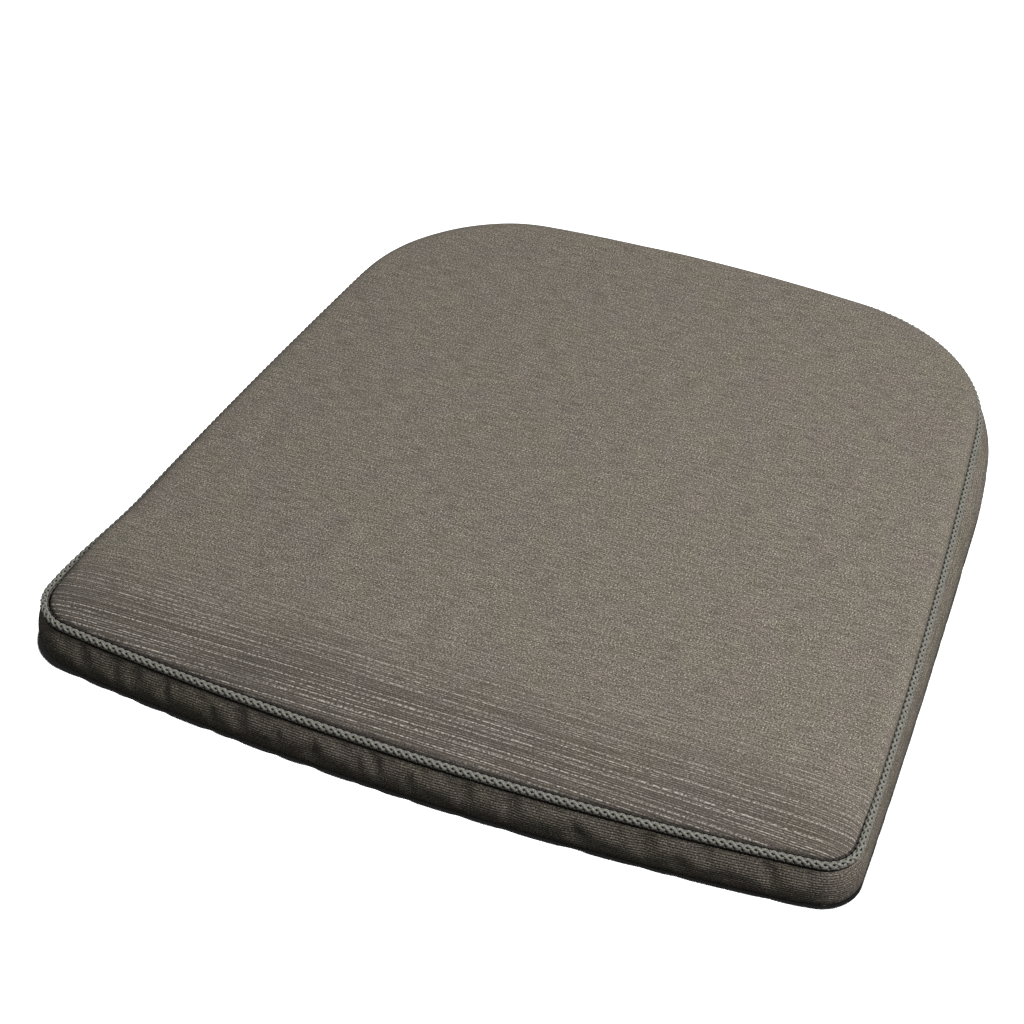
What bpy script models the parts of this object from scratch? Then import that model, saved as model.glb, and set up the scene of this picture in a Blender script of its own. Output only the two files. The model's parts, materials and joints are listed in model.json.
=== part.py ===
"""Boxed chair seat pad with a corded top seam and a zip in the back of its gusset.

Metres, +Z up. The pad lies on z = 0 with its front edge towards -Y, and its origin is under its middle.
Its plan is the line of the top seam, which the cord's centre follows. A section of the cover or of the
filling is written as (u, z): u is how far out from that line a point lies, z its height.
"""

import math
from collections import namedtuple

import bmesh
import bpy
from mathutils import Vector

# Plan of the top seam
SEAM_DEPTH = 0.482  # front to back, at the middle
FRONT_WIDTH = 0.488  # between the front corners, before they are rounded
BACK_WIDTH = 0.403  # between the back corners, before they are rounded
FRONT_BOW = 0.0155  # how far the front edge bows out between its corners
SIDE_BOW = 0.005
BACK_BOW = 0.0175
FRONT_CORNER = 0.022
BACK_CORNER = 0.113

# Cover
CLOTH = 0.0010
GAP = 0.0003  # left between pieces that touch
SEAM_HEIGHT = 0.0284  # of the cord's centre
CORD_RADIUS = 0.0026
GUSSET_BULGE = 0.0084  # how far the gusset stands out past the seam
GUSSET_SHOULDER = 0.0070  # drop from the seam to where the gusset stands upright
FOOT_RADIUS = 0.0045  # rounding at the foot of the gusset
SHOULDER_RUN = 0.014  # width of the top panel's rounded edge
SHOULDER_RISE = 0.0105  # height of that edge above the cord's centre
CROWN_RISE = 0.003  # rise of the top panel from there to its middle
CROWN_RINGS = (0.7, 0.35, 0.0)  # the crown's rings, as shares of the shoulder's inner edge
PANEL_TUCK = math.radians(50)  # how far the top panel runs on round the cord
CORD_TAPE = 0.0008
CORD_TAPE_WIDTH = 0.0055
THREAD_RADIUS = 0.0003

# Filling
WADDING = 0.003
EDGE_SQUARENESS = 3  # exponent of the edge wadding's rounded section

# Zip
ZIP_TAPE = 0.0006
ZIP_TAPE_WIDTH = 0.0052
ZIP_SPLIT = 0.00055  # half of the running gap between the two coils
COIL_THICKNESS = 0.0015
COIL_WIDTH = 0.0018
CHAIN_MARGIN = 0.007  # from the end of the back arc to the end of the chain
STOP_LENGTH = 0.0018
STITCH_SETBACK = 0.0015  # from the edge of a rear gusset strip to its stitching

# Slider and pull tab
SLIDER_LENGTH = 0.009
SLIDER_WIDTH = 0.007
SLIDER_PLATE = 0.0010
SLIDER_BACK_PLATE = 0.0009
SLIDER_WEB = 0.0004
SLIDER_FLANGE = 0.00055
SLIDER_PLAY = 0.0004  # between the slider's sides and the gusset strips
SINK = 0.0002  # how deep joined shapes run into each other
LOOP_HALF_OPENING = 0.0014
LOOP_HEIGHT = 0.0020
LOOP_WALL = 0.0009
LOOP_WIDTH = 0.0016
TAB_THICKNESS = 0.0010
TAB_LENGTH = 0.017
TAB_WIDTH = 0.005
TAB_BAR = 0.0010
TAB_WINDOW = 0.0035
TAB_SIDE_PLAY = 0.0006  # between the tab's arms and the slider's loop

# Steps of the arcs, and the edges that are shaded sharp
EDGE_STEPS = (8, 4, 8, 4)
CORNER_STEPS = (4, 7, 7, 4)
SHARP_ANGLE = math.radians(40)

# Heights and offsets that follow from these
GUSSET_TOP = SEAM_HEIGHT - CORD_RADIUS - GAP - CLOTH / 2
GUSSET_UPRIGHT_TOP = GUSSET_TOP - GUSSET_SHOULDER
GUSSET_START = GAP / 2 + CLOTH / 2
CORD_TAPE_OFFSET = -GAP / 2 - CORD_TAPE / 2
CORD_TAPE_TOP = SEAM_HEIGHT - CORD_RADIUS - GAP
CORD_TAPE_FOOT = CORD_TAPE_TOP - CORD_TAPE_WIDTH
PANEL_RADIUS = CORD_RADIUS + GAP + CLOTH / 2  # of the top panel's edge round the cord
SHOULDER_CENTRE = -PANEL_RADIUS - SHOULDER_RUN
BOTTOM_SEAM = GUSSET_BULGE - FOOT_RADIUS
TOP_WADDING_INSET = CLOTH / 2 + GAP + WADDING / 2
FOAM_INSET = TOP_WADDING_INSET + WADDING / 2 + GAP
FOAM_SIDE = -PANEL_RADIUS - FOAM_INSET
FOAM_BOTTOM = CLOTH + GAP + WADDING + GAP
ZIP_HEIGHT = (FOOT_RADIUS + GUSSET_UPRIGHT_TOP) / 2
ZIP_TAPE_FACE = GUSSET_BULGE - CLOTH - GAP
COIL_FACE = ZIP_TAPE_FACE + GAP
SLIDER_BACK_FACE = ZIP_TAPE_FACE - ZIP_TAPE - GAP
SLIDER_FRONT_FACE = COIL_FACE + COIL_THICKNESS + GAP
SLIDER_OUTSIDE = SLIDER_FRONT_FACE + SLIDER_PLATE
ZIP_WINDOW = SLIDER_WIDTH / 2 + SLIDER_PLAY
TAB_PIVOT = SLIDER_OUTSIDE + LOOP_HEIGHT / 2
EDGE_OUTSIDE = SLIDER_BACK_FACE - SLIDER_BACK_PLATE - GAP
EDGE_TOP = CORD_TAPE_FOOT - GAP

Arc = namedtuple("Arc", "centre radius start end steps")


def clear_scene():
    for obj in list(bpy.data.objects):
        bpy.data.objects.remove(obj)


def new_collection(name):
    collection = bpy.data.collections.new(name)
    bpy.context.scene.collection.children.link(collection)
    return collection


def material(name, colour, roughness, metallic=0.0):
    made = bpy.data.materials.new(name)
    made.use_nodes = True
    shader = made.node_tree.nodes["Principled BSDF"]
    shader.inputs["Base Color"].default_value = (*colour, 1.0)
    shader.inputs["Roughness"].default_value = roughness
    shader.inputs["Metallic"].default_value = metallic
    return made


# Plan


def bowed_edge(start, end, bow):
    """The centre and radius of the arc from start to end that bows out to the right of its way."""
    chord = end - start
    radius = (chord.length_squared / 4 + bow * bow) / (2 * bow)
    outward = Vector((chord.y, -chord.x)).normalized()
    return (start + end) / 2 - outward * (radius - bow), radius


def corner_centre(before, after, radius, sharp):
    """The centre of the rounding, of this radius, that touches both edges from inside."""
    reach_before = before[1] - radius
    reach_after = after[1] - radius
    between = after[0] - before[0]
    distance = between.length
    along = (reach_before**2 - reach_after**2 + distance**2) / (2 * distance)
    aside = math.sqrt(reach_before**2 - along**2)
    foot = before[0] + between * (along / distance)
    normal = Vector((-between.y, between.x)) / distance
    found = (foot + normal * aside, foot - normal * aside)
    return min(found, key=lambda point: (point - sharp).length)


def heading(centre, point):
    return math.atan2(point.y - centre.y, point.x - centre.x) % math.tau


def plan_of_seam():
    """The eight arcs of the top seam, anticlockwise from the front edge: edge, corner, edge, corner."""
    front_y = -SEAM_DEPTH / 2 + FRONT_BOW
    back_y = SEAM_DEPTH / 2 - BACK_BOW
    sharp = [
        Vector((FRONT_WIDTH / 2, front_y)),
        Vector((BACK_WIDTH / 2, back_y)),
        Vector((-BACK_WIDTH / 2, back_y)),
        Vector((-FRONT_WIDTH / 2, front_y)),
    ]
    bows = [FRONT_BOW, SIDE_BOW, BACK_BOW, SIDE_BOW]
    radii = [FRONT_CORNER, BACK_CORNER, BACK_CORNER, FRONT_CORNER]
    edges = [bowed_edge(sharp[i - 1], sharp[i], bows[i]) for i in range(4)]
    corners = [corner_centre(edges[i], edges[(i + 1) % 4], radii[i], sharp[i]) for i in range(4)]
    arcs = []
    for i in range(4):
        centre, radius = edges[i]
        start = heading(centre, corners[i - 1])
        end = heading(centre, corners[i])
        if end < start:
            end += math.tau
        arcs.append(Arc(centre, radius, start, end, EDGE_STEPS[i]))
        next_start = heading(edges[(i + 1) % 4][0], corners[i])
        if next_start < end - math.pi:
            next_start += math.tau
        arcs.append(Arc(corners[i], radii[i], end, next_start, CORNER_STEPS[i]))
    return arcs


PLAN = plan_of_seam()
BACK_ARC = PLAN[4]
BACK_HALF_ANGLE = (BACK_ARC.end - BACK_ARC.start) / 2


def trimmed(arc, length):
    """The arc, shortened by this length of it at each end."""
    angle = length / arc.radius
    return arc._replace(start=arc.start + angle, end=arc.end - angle)


def ring(arcs, offset, height, closed=True):
    """Points along the arcs, this far outside them."""
    points = []
    for arc in arcs:
        for step in range(arc.steps):
            angle = arc.start + (arc.end - arc.start) * step / arc.steps
            reach = arc.radius + offset
            point = arc.centre + reach * Vector((math.cos(angle), math.sin(angle)))
            points.append(Vector((point.x, point.y, height)))
    if not closed:
        last = arcs[-1]
        end = last.centre + (last.radius + offset) * Vector((math.cos(last.end), math.sin(last.end)))
        points.append(Vector((end.x, end.y, height)))
    return points


# Ways to make a piece


def add_object(name, data, finish, collection, parent=None):
    data.materials.append(finish)
    obj = bpy.data.objects.new(name, data)
    collection.objects.link(obj)
    obj.parent = parent
    return obj


def add_modifier(obj, kind, **settings):
    modifier = obj.modifiers.new(kind.title(), kind)
    for key, value in settings.items():
        setattr(modifier, key, value)
    return modifier


def lofted_mesh(name, rings, ring_closed=True, section_closed=False, centres=()):
    """A mesh of quads through the rings. Each of centres is a point that closes an end ring as a fan."""
    shape = bmesh.new()
    rows = [[shape.verts.new(point) for point in points] for points in rings]
    pairs = list(zip(rows, rows[1:]))
    if section_closed:
        pairs.append((rows[-1], rows[0]))
    count = len(rows[0])
    spans = range(count if ring_closed else count - 1)
    for low, high in pairs:
        for i in spans:
            j = (i + 1) % count
            shape.faces.new((low[i], low[j], high[j], high[i]))
    for row, centre in zip((rows[-1], rows[0]), centres):
        middle = shape.verts.new(centre)
        for i in spans:
            shape.faces.new((row[i], row[(i + 1) % count], middle))
    bmesh.ops.recalc_face_normals(shape, faces=shape.faces)
    mesh = bpy.data.meshes.new(name)
    shape.to_mesh(mesh)
    shape.free()
    mesh.shade_smooth()
    mesh.set_sharp_from_angle(angle=SHARP_ANGLE)
    return mesh


def cloth(name, section, thickness, finish, collection, arcs=None, dome=()):
    """A sheet of this thickness whose middle follows the section round the plan, or along some arcs.

    dome lists (scale, height) of the last ring on its way in to the middle; the last has scale 0.
    """
    closed = arcs is None
    rings = [ring(arcs or PLAN, offset, height, closed) for offset, height in section]
    centres = ()
    if dome:
        rings += dome_rings(rings[-1], dome[:-1])
        centres = (Vector((0, 0, dome[-1][1])),)
    mesh = lofted_mesh(name, rings, ring_closed=closed, centres=centres)
    obj = add_object(name, mesh, finish, collection)
    add_modifier(obj, "SOLIDIFY", thickness=thickness, offset=0, use_even_offset=True)
    return obj


def dome_rings(edge, steps):
    return [[Vector((p.x * scale, p.y * scale, height)) for p in edge] for scale, height in steps]


def flat_piece(name, offset, bottom, thickness, finish, collection):
    """A flat piece cut to the plan, this far outside the seam."""
    outline = bpy.data.curves.new(name, "CURVE")
    outline.dimensions = "2D"
    outline.fill_mode = "BOTH"
    outline.extrude = thickness / 2
    add_loop(outline, ring(PLAN, offset, 0), closed=True)
    obj = add_object(name, outline, finish, collection)
    obj.location.z = bottom + thickness / 2
    return obj


def add_loop(curve, points, closed):
    spline = curve.splines.new("POLY")
    spline.points.add(len(points) - 1)
    for target, point in zip(spline.points, points):
        target.co = (*point, 1.0)
    spline.use_cyclic_u = closed


def line(name, points, radius, sides_setting, finish, collection, closed):
    """A cord or a thread: a tube along the points."""
    curve = bpy.data.curves.new(name, "CURVE")
    curve.dimensions = "3D"
    curve.bevel_depth = radius
    curve.bevel_resolution = sides_setting
    curve.use_fill_caps = not closed
    add_loop(curve, points, closed)
    return add_object(name, curve, finish, collection)


def box(name, size, centre, finish, collection, parent=None):
    bpy.ops.mesh.primitive_cube_add(size=1)
    obj = bpy.context.active_object
    obj.name = name
    for held in list(obj.users_collection):
        held.objects.unlink(obj)
    collection.objects.link(obj)
    for vertex in obj.data.vertices:
        vertex.co = Vector([c * s for c, s in zip(vertex.co, size)]) + Vector(centre)
    obj.data.materials.append(finish)
    obj.parent = parent
    return obj


def combine(target, other, operation):
    """Joins a helper to the target, or cuts it out, and keeps the helper out of the model."""
    other.hide_render = True
    other.display_type = "WIRE"
    add_modifier(target, "BOOLEAN", object=other, operation=operation)


# Sections, as (u, z) points


def shoulder(inset, steps=4):
    """The rounded edge of the top, this far inside the middle of the top panel, from the side inwards."""
    run = SHOULDER_RUN - inset
    rise = SHOULDER_RISE - inset
    turns = [math.pi / 2 * step / steps for step in range(steps + 1)]
    return [
        (SHOULDER_CENTRE + run * math.cos(t), SEAM_HEIGHT + rise * math.sin(t)) for t in turns
    ]


def crown(inset):
    """(scale, height) from the shoulder to the middle of the top, this far inside the top panel."""
    edge = SEAM_HEIGHT + SHOULDER_RISE - inset
    return [(scale, edge + CROWN_RISE * (1 - scale**2)) for scale in CROWN_RINGS]


def gusset_section(steps=4):
    """The gusset's middle, from the top seam down to the bottom seam."""
    run = GUSSET_BULGE - CLOTH / 2 - GUSSET_START
    top = [math.pi / 2 * (1 - step / steps) for step in range(steps + 1)]
    points = [
        (GUSSET_START + run * math.cos(t), GUSSET_UPRIGHT_TOP + GUSSET_SHOULDER * math.sin(t))
        for t in top
    ]
    foot_steps = 3
    foot = [-math.pi / 2 * step / foot_steps for step in range(foot_steps + 1)]
    radius = FOOT_RADIUS - CLOTH / 2
    points += [(BOTTOM_SEAM + radius * math.cos(t), FOOT_RADIUS + radius * math.sin(t)) for t in foot]
    return points


def part_of_section(section, low, high):
    """The points of the gusset's section between two heights, with new end points on the upright."""
    upright = GUSSET_BULGE - CLOTH / 2
    inside = [point for point in section if low < point[1] < high]
    if low > FOOT_RADIUS:
        return inside + [(upright, low)]
    return [(upright, high)] + inside


def groove_centre():
    """Where the seam's thread lies: in the groove between the cord and the top panel."""
    need = CORD_RADIUS + GAP + THREAD_RADIUS
    height = 0.0
    while True:
        height += THREAD_RADIUS / 10
        share = height / (SHOULDER_RISE + CLOTH / 2)
        face = SHOULDER_CENTRE + (SHOULDER_RUN + CLOTH / 2) * math.sqrt(1 - share**2)
        offset = face + GAP + THREAD_RADIUS
        if math.hypot(offset, height) >= need:
            return offset, SEAM_HEIGHT + height


# Pieces of the cover


def make_top_panel(fabric, parts):
    tuck_steps = 2
    tuck = [math.pi + PANEL_TUCK * (1 - step / tuck_steps) for step in range(tuck_steps)]
    edge = [(PANEL_RADIUS * math.cos(t), SEAM_HEIGHT + PANEL_RADIUS * math.sin(t)) for t in tuck]
    cloth("top_panel", edge + shoulder(0), CLOTH, fabric, parts, dome=crown(0))


def make_bottom_panel(fabric, parts):
    flat_piece("bottom_panel", BOTTOM_SEAM - GAP, 0, CLOTH, fabric, parts)


def make_gussets(fabric, parts):
    section = gusset_section()
    front = PLAN[5:] + PLAN[:4]
    cloth("gusset_front", section, CLOTH, fabric, parts, arcs=front)
    rear = [trimmed(BACK_ARC, GAP)]
    upper = part_of_section(section, ZIP_HEIGHT + ZIP_WINDOW, SEAM_HEIGHT)
    lower = part_of_section(section, 0, ZIP_HEIGHT - ZIP_WINDOW)
    cloth("gusset_rear_upper", upper, CLOTH, fabric, parts, arcs=rear)
    cloth("gusset_rear_lower", lower, CLOTH, fabric, parts, arcs=rear)


def make_cord(cord, tape, thread, parts):
    line("cord_trim", ring(PLAN, 0, SEAM_HEIGHT), CORD_RADIUS, 2, cord, parts, closed=True)
    lip = [(CORD_TAPE_OFFSET, CORD_TAPE_TOP), (CORD_TAPE_OFFSET, CORD_TAPE_FOOT)]
    cloth("cord_tape", lip, CORD_TAPE, tape, parts)
    offset, height = groove_centre()
    line("top_seam_thread", ring(PLAN, offset, height), THREAD_RADIUS, 1, thread, parts, closed=True)


# Pieces of the filling


def make_foam(foam, parts):
    side = [(SHOULDER_CENTRE + SHOULDER_RUN - FOAM_INSET, FOAM_BOTTOM)]
    section = side + shoulder(FOAM_INSET)
    rings = [ring(PLAN, offset, height) for offset, height in section]
    top = crown(FOAM_INSET)
    rings += dome_rings(rings[-1], top[:-1])
    centres = (Vector((0, 0, top[-1][1])), Vector((0, 0, FOAM_BOTTOM)))
    add_object("foam_core", lofted_mesh("foam_core", rings, centres=centres), foam, parts)


def make_wadding(wadding, parts):
    side = [(SHOULDER_CENTRE + SHOULDER_RUN - TOP_WADDING_INSET, EDGE_TOP + GAP)]
    section = side + shoulder(TOP_WADDING_INSET)
    dome = crown(TOP_WADDING_INSET)
    cloth("wadding_top", section, WADDING, wadding, parts, dome=dome)
    flat_piece("wadding_bottom", FOAM_SIDE, CLOTH + GAP, WADDING, wadding, parts)
    make_edge_wadding(wadding, parts)


def make_edge_wadding(wadding, parts):
    """The strip round the foam's side: a ring with a rounded section."""
    inside = FOAM_SIDE + GAP
    bottom = CLOTH + GAP
    middle_u = (inside + EDGE_OUTSIDE) / 2
    middle_z = (bottom + EDGE_TOP) / 2
    half_u = (EDGE_OUTSIDE - inside) / 2
    half_z = (EDGE_TOP - bottom) / 2
    power = 2 / EDGE_SQUARENESS
    corners = 12
    rings = []
    for corner in range(corners):
        turn = math.tau * corner / corners
        across = math.copysign(abs(math.cos(turn)) ** power, math.cos(turn))
        up = math.copysign(abs(math.sin(turn)) ** power, math.sin(turn))
        rings.append(ring(PLAN, middle_u + half_u * across, middle_z + half_z * up))
    mesh = lofted_mesh("edge_wadding", rings, section_closed=True)
    add_object("edge_wadding", mesh, wadding, parts)


# Zip


def make_zip_tapes(tape, coil, thread, parts):
    offset = ZIP_TAPE_FACE - ZIP_TAPE / 2
    coil_offset = COIL_FACE + COIL_THICKNESS / 2
    sewn = [trimmed(BACK_ARC, GAP)]
    chain = [trimmed(BACK_ARC, CHAIN_MARGIN)]
    for side, name in ((1, "upper"), (-1, "lower")):
        inner = ZIP_HEIGHT + side * ZIP_SPLIT
        outer = inner + side * ZIP_TAPE_WIDTH
        cloth(f"zip_tape_{name}", [(offset, inner), (offset, outer)], ZIP_TAPE, tape, parts, sewn)
        coil_outer = inner + side * COIL_WIDTH
        section = [(coil_offset, inner), (coil_offset, coil_outer)]
        cloth(f"zip_coil_{name}", section, COIL_THICKNESS, coil, parts, chain)
        stitch_height = ZIP_HEIGHT + side * (ZIP_WINDOW + STITCH_SETBACK)
        stitch_offset = GUSSET_BULGE + GAP + THREAD_RADIUS
        stitches = ring(sewn, stitch_offset, stitch_height, closed=False)
        line(f"zip_stitching_{name}", stitches, THREAD_RADIUS, 1, thread, parts, closed=False)


def turned_about_back_arc(name, angle, parts):
    """An empty at the back arc's centre. Its +Y points out through the back, this far from the middle."""
    pivot = bpy.data.objects.new(name, None)
    parts.objects.link(pivot)
    pivot.location = (BACK_ARC.centre.x, BACK_ARC.centre.y, ZIP_HEIGHT)
    pivot.rotation_euler.z = angle
    return pivot


def make_zip_stops(metal, parts):
    chain_angle = BACK_HALF_ANGLE - CHAIN_MARGIN / BACK_ARC.radius
    beyond = (GAP + STOP_LENGTH / 2) / BACK_ARC.radius
    size = (STOP_LENGTH, COIL_THICKNESS, 2 * (ZIP_SPLIT + COIL_WIDTH))
    reach = BACK_ARC.radius + COIL_FACE + COIL_THICKNESS / 2
    for side, name in ((-1, "closed_end"), (1, "open_end")):
        pivot = turned_about_back_arc(f"{name}_place", side * (chain_angle + beyond), parts)
        box(f"zip_stop_{name}", size, (0, reach, 0), metal, parts, pivot)


def make_slider(metal, parts, helpers):
    """The slider, at the closed end of the chain. Its own +Y points out of the pad."""
    chain_angle = BACK_HALF_ANGLE - CHAIN_MARGIN / BACK_ARC.radius
    rest = chain_angle - (SLIDER_LENGTH / 2 + GAP) / BACK_ARC.radius
    travel = turned_about_back_arc("zip_travel", -rest, parts)
    reach = BACK_ARC.radius

    def slab(name, length, width, inner, outer, height=0.0, collection=helpers):
        size = (length, outer - inner, width)
        centre = (0, reach + (inner + outer) / 2, height)
        return box(name, size, centre, metal, collection, travel)

    slider = slab(
        "zip_slider", SLIDER_LENGTH, SLIDER_WIDTH, SLIDER_FRONT_FACE, SLIDER_OUTSIDE, collection=parts
    )
    back_outside = SLIDER_BACK_FACE - SLIDER_BACK_PLATE
    back_plate = slab("slider_back", SLIDER_LENGTH, SLIDER_WIDTH, back_outside, SLIDER_BACK_FACE)
    inner_length = SLIDER_LENGTH - 2 * SINK
    joined = SLIDER_FRONT_FACE + SINK
    web = slab("slider_web", inner_length, SLIDER_WEB, SLIDER_BACK_FACE - SINK, joined)
    flange_height = SLIDER_WIDTH / 2 - SLIDER_FLANGE / 2 - SINK / 2
    flanges = [
        slab(name, inner_length, SLIDER_FLANGE, COIL_FACE, joined, side * flange_height)
        for side, name in ((1, "slider_flange_upper"), (-1, "slider_flange_lower"))
    ]
    loop_length = 2 * (LOOP_HALF_OPENING + LOOP_WALL)
    loop_outside = SLIDER_OUTSIDE + LOOP_HEIGHT + LOOP_WALL
    loop = slab("slider_loop", loop_length, LOOP_WIDTH, SLIDER_OUTSIDE - SINK, loop_outside)
    for shape in (web, back_plate, *flanges, loop):
        combine(slider, shape, "UNION")
    opening_top = SLIDER_OUTSIDE + LOOP_HEIGHT
    opening = slab("loop_opening", 2 * LOOP_HALF_OPENING, 2 * LOOP_WIDTH, SLIDER_OUTSIDE, opening_top)
    combine(slider, opening, "DIFFERENCE")
    return travel


def rounded_outline(curve, left, right, half_width, rounding):
    """A rectangle with round corners, as one loop of a flat curve."""
    points = []
    corner_steps = 3
    centres = (
        (right - rounding, half_width - rounding, 0),
        (left + rounding, half_width - rounding, 1),
        (left + rounding, -half_width + rounding, 2),
        (right - rounding, -half_width + rounding, 3),
    )
    for x, y, quarter in centres:
        for step in range(corner_steps + 1):
            angle = math.pi / 2 * (quarter + step / corner_steps)
            points.append(Vector((x + rounding * math.cos(angle), y + rounding * math.sin(angle), 0)))
    add_loop(curve, points, closed=True)


def make_pull_tab(metal, parts, travel):
    """The tab lies along the closed chain and turns on its bar, which passes through the slider's loop."""
    outline = bpy.data.curves.new("zip_pull", "CURVE")
    outline.dimensions = "2D"
    outline.fill_mode = "BOTH"
    outline.extrude = TAB_THICKNESS / 2
    bar_edge = TAB_BAR / 2
    rounded_outline(outline, bar_edge - TAB_LENGTH, bar_edge, TAB_WIDTH / 2, TAB_BAR / 4)
    window_half = LOOP_WIDTH / 2 + TAB_SIDE_PLAY
    rounded_outline(outline, -bar_edge - TAB_WINDOW, -bar_edge, window_half, TAB_BAR / 4)
    tab = add_object("zip_pull", outline, metal, parts, travel)
    tab.location = (0, BACK_ARC.radius + TAB_PIVOT, 0)
    tab.rotation_euler.x = math.pi / 2


def main():
    clear_scene()
    parts = new_collection("chair_seat_pad")
    helpers = new_collection("helpers")
    fabric = material("cover_fabric", (0.19, 0.165, 0.135), 0.9)
    cord = material("cord", (0.33, 0.33, 0.28), 0.85)
    tape = material("tape", (0.16, 0.145, 0.125), 0.85)
    thread = material("thread", (0.06, 0.055, 0.05), 0.7)
    foam = material("foam", (0.78, 0.72, 0.50), 0.95)
    wadding = material("wadding", (0.85, 0.85, 0.83), 0.95)
    coil = material("coil", (0.10, 0.095, 0.085), 0.45)
    metal = material("zip_metal", (0.30, 0.28, 0.25), 0.35, metallic=1.0)
    make_top_panel(fabric, parts)
    make_bottom_panel(fabric, parts)
    make_gussets(fabric, parts)
    make_cord(cord, tape, thread, parts)
    make_foam(foam, parts)
    make_wadding(wadding, parts)
    make_zip_tapes(tape, coil, thread, parts)
    make_zip_stops(metal, parts)
    travel = make_slider(metal, parts, helpers)
    make_pull_tab(metal, parts, travel)


main()
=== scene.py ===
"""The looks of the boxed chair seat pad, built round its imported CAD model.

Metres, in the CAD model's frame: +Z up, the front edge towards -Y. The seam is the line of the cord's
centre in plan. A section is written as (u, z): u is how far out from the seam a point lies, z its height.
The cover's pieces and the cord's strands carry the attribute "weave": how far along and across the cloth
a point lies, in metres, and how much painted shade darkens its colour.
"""

import json
import math
from collections import namedtuple

import bpy
import numpy as np
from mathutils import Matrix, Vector, noise


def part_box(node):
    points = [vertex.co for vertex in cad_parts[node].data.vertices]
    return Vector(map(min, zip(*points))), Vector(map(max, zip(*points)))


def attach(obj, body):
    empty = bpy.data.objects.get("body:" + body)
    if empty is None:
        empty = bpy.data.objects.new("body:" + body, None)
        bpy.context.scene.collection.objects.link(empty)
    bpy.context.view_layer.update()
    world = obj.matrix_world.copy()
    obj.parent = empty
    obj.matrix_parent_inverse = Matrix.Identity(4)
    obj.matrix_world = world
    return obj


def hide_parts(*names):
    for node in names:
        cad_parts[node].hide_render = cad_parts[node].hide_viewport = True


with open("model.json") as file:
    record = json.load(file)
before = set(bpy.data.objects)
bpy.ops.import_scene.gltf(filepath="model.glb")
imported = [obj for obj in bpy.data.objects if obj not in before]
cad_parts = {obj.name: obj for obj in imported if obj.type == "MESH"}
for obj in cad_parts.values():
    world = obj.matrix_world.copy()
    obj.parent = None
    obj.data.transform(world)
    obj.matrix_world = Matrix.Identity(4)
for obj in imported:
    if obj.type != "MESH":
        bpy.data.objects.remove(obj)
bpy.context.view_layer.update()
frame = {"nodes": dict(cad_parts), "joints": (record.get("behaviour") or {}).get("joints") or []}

# Sizes read from the frame
cord_low, cord_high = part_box("cord_trim")
foam_low, foam_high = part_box("foam_core")
CORD_RADIUS = (cord_high.z - cord_low.z) / 2
SEAM_HEIGHT = (cord_high.z + cord_low.z) / 2
SEAM_FRONT = cord_low.y + CORD_RADIUS
SEAM_BACK = cord_high.y - CORD_RADIUS
GUSSET_BULGE = SEAM_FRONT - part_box("gusset_front")[0].y
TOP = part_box("top_panel")[1].z

# Plan of the seam
FRONT_WIDTH = 0.488  # between the front corners, before they are rounded
BACK_WIDTH = 0.403
FRONT_BOW = 0.0155
SIDE_BOW = 0.005
BACK_BOW = 0.0175
FRONT_LEFT_CORNER = 0.026
FRONT_RIGHT_CORNER = 0.019
BACK_CORNER = 0.113
FLAT_LEFT_CORNER = 0.036  # of the flat middle of the top
FLAT_RIGHT_CORNER = 0.030

# Cover
CLOTH = 0.0009
PANEL_RADIUS = CORD_RADIUS + 0.0008  # of the top panel's edge round the cord
PANEL_TUCK = math.radians(50)
LIP_RING = 8  # the top panel's ring where its lean over the cord ends
FRONT_RUN = 0.046  # how far in the top panel goes on rising from its edge
SIDE_RUN = 0.017
BACK_RUN = 0.0125
CROWN_RISE = 0.003
LEFT_DRAW = 0.0055
OVERHANG = 0.0008  # how far the top panel leans out over the cord at its left side
RIGHT_OVERHANG = 0.0024
OVERHANG_RISE = 0.0028
GUSSET_SHOULDER = 0.0070
FOOT_RADIUS = 0.0045
FOOT_HEIGHT = 0.0004  # of the gusset's lower edge

# Thicknesses of the tapes and the wadding, in metres
TAPE_THICKNESS = 0.0006
CORD_TAPE_THICKNESS = 0.0008
WADDING_THICKNESS = 0.0028

# Camera
CAMERA_AZIMUTH = math.radians(22.95)
CAMERA_ELEVATION = math.radians(41.8)
CAMERA_DISTANCE = 1.4965
CAMERA_TARGET = Vector((-0.0362, -0.0099, 0.0))
CAMERA_LENS = 85.93

# Studio
FLOOR_HALF_SIZE = 1.25
FLOOR_GREY = 0.22
BLOCKER_DROP = 0.002
BACKDROP_RADIUS = 5.8
BACKDROP_GLOW = 1.05
WORLD_STRENGTH = 0.145

Arc = namedtuple("Arc", "centre radius start end")


# Camera, light and floor


def make_camera():
    data = bpy.data.cameras.new("camera")
    data.lens = CAMERA_LENS
    data.sensor_width = 36
    camera = bpy.data.objects.new("camera", data)
    bpy.context.scene.collection.objects.link(camera)
    reach = math.cos(CAMERA_ELEVATION)
    away = Vector(
        (
            math.sin(CAMERA_AZIMUTH) * reach,
            -math.cos(CAMERA_AZIMUTH) * reach,
            math.sin(CAMERA_ELEVATION),
        )
    )
    camera.location = CAMERA_TARGET + CAMERA_DISTANCE * away
    camera.rotation_euler = (-away).to_track_quat("-Z", "Y").to_euler()
    bpy.context.scene.camera = camera


def area_light(name, place, size, watts, receivers, colour=(1, 1, 1)):
    data = bpy.data.lights.new(name, "AREA")
    data.shape = "SQUARE"
    data.size = size
    data.energy = watts
    data.color = colour
    light = bpy.data.objects.new(name, data)
    bpy.context.scene.collection.objects.link(light)
    light.location = place
    light.rotation_euler = (-Vector(place)).to_track_quat("-Z", "Y").to_euler()
    light.light_linking.receiver_collection = receivers


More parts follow.
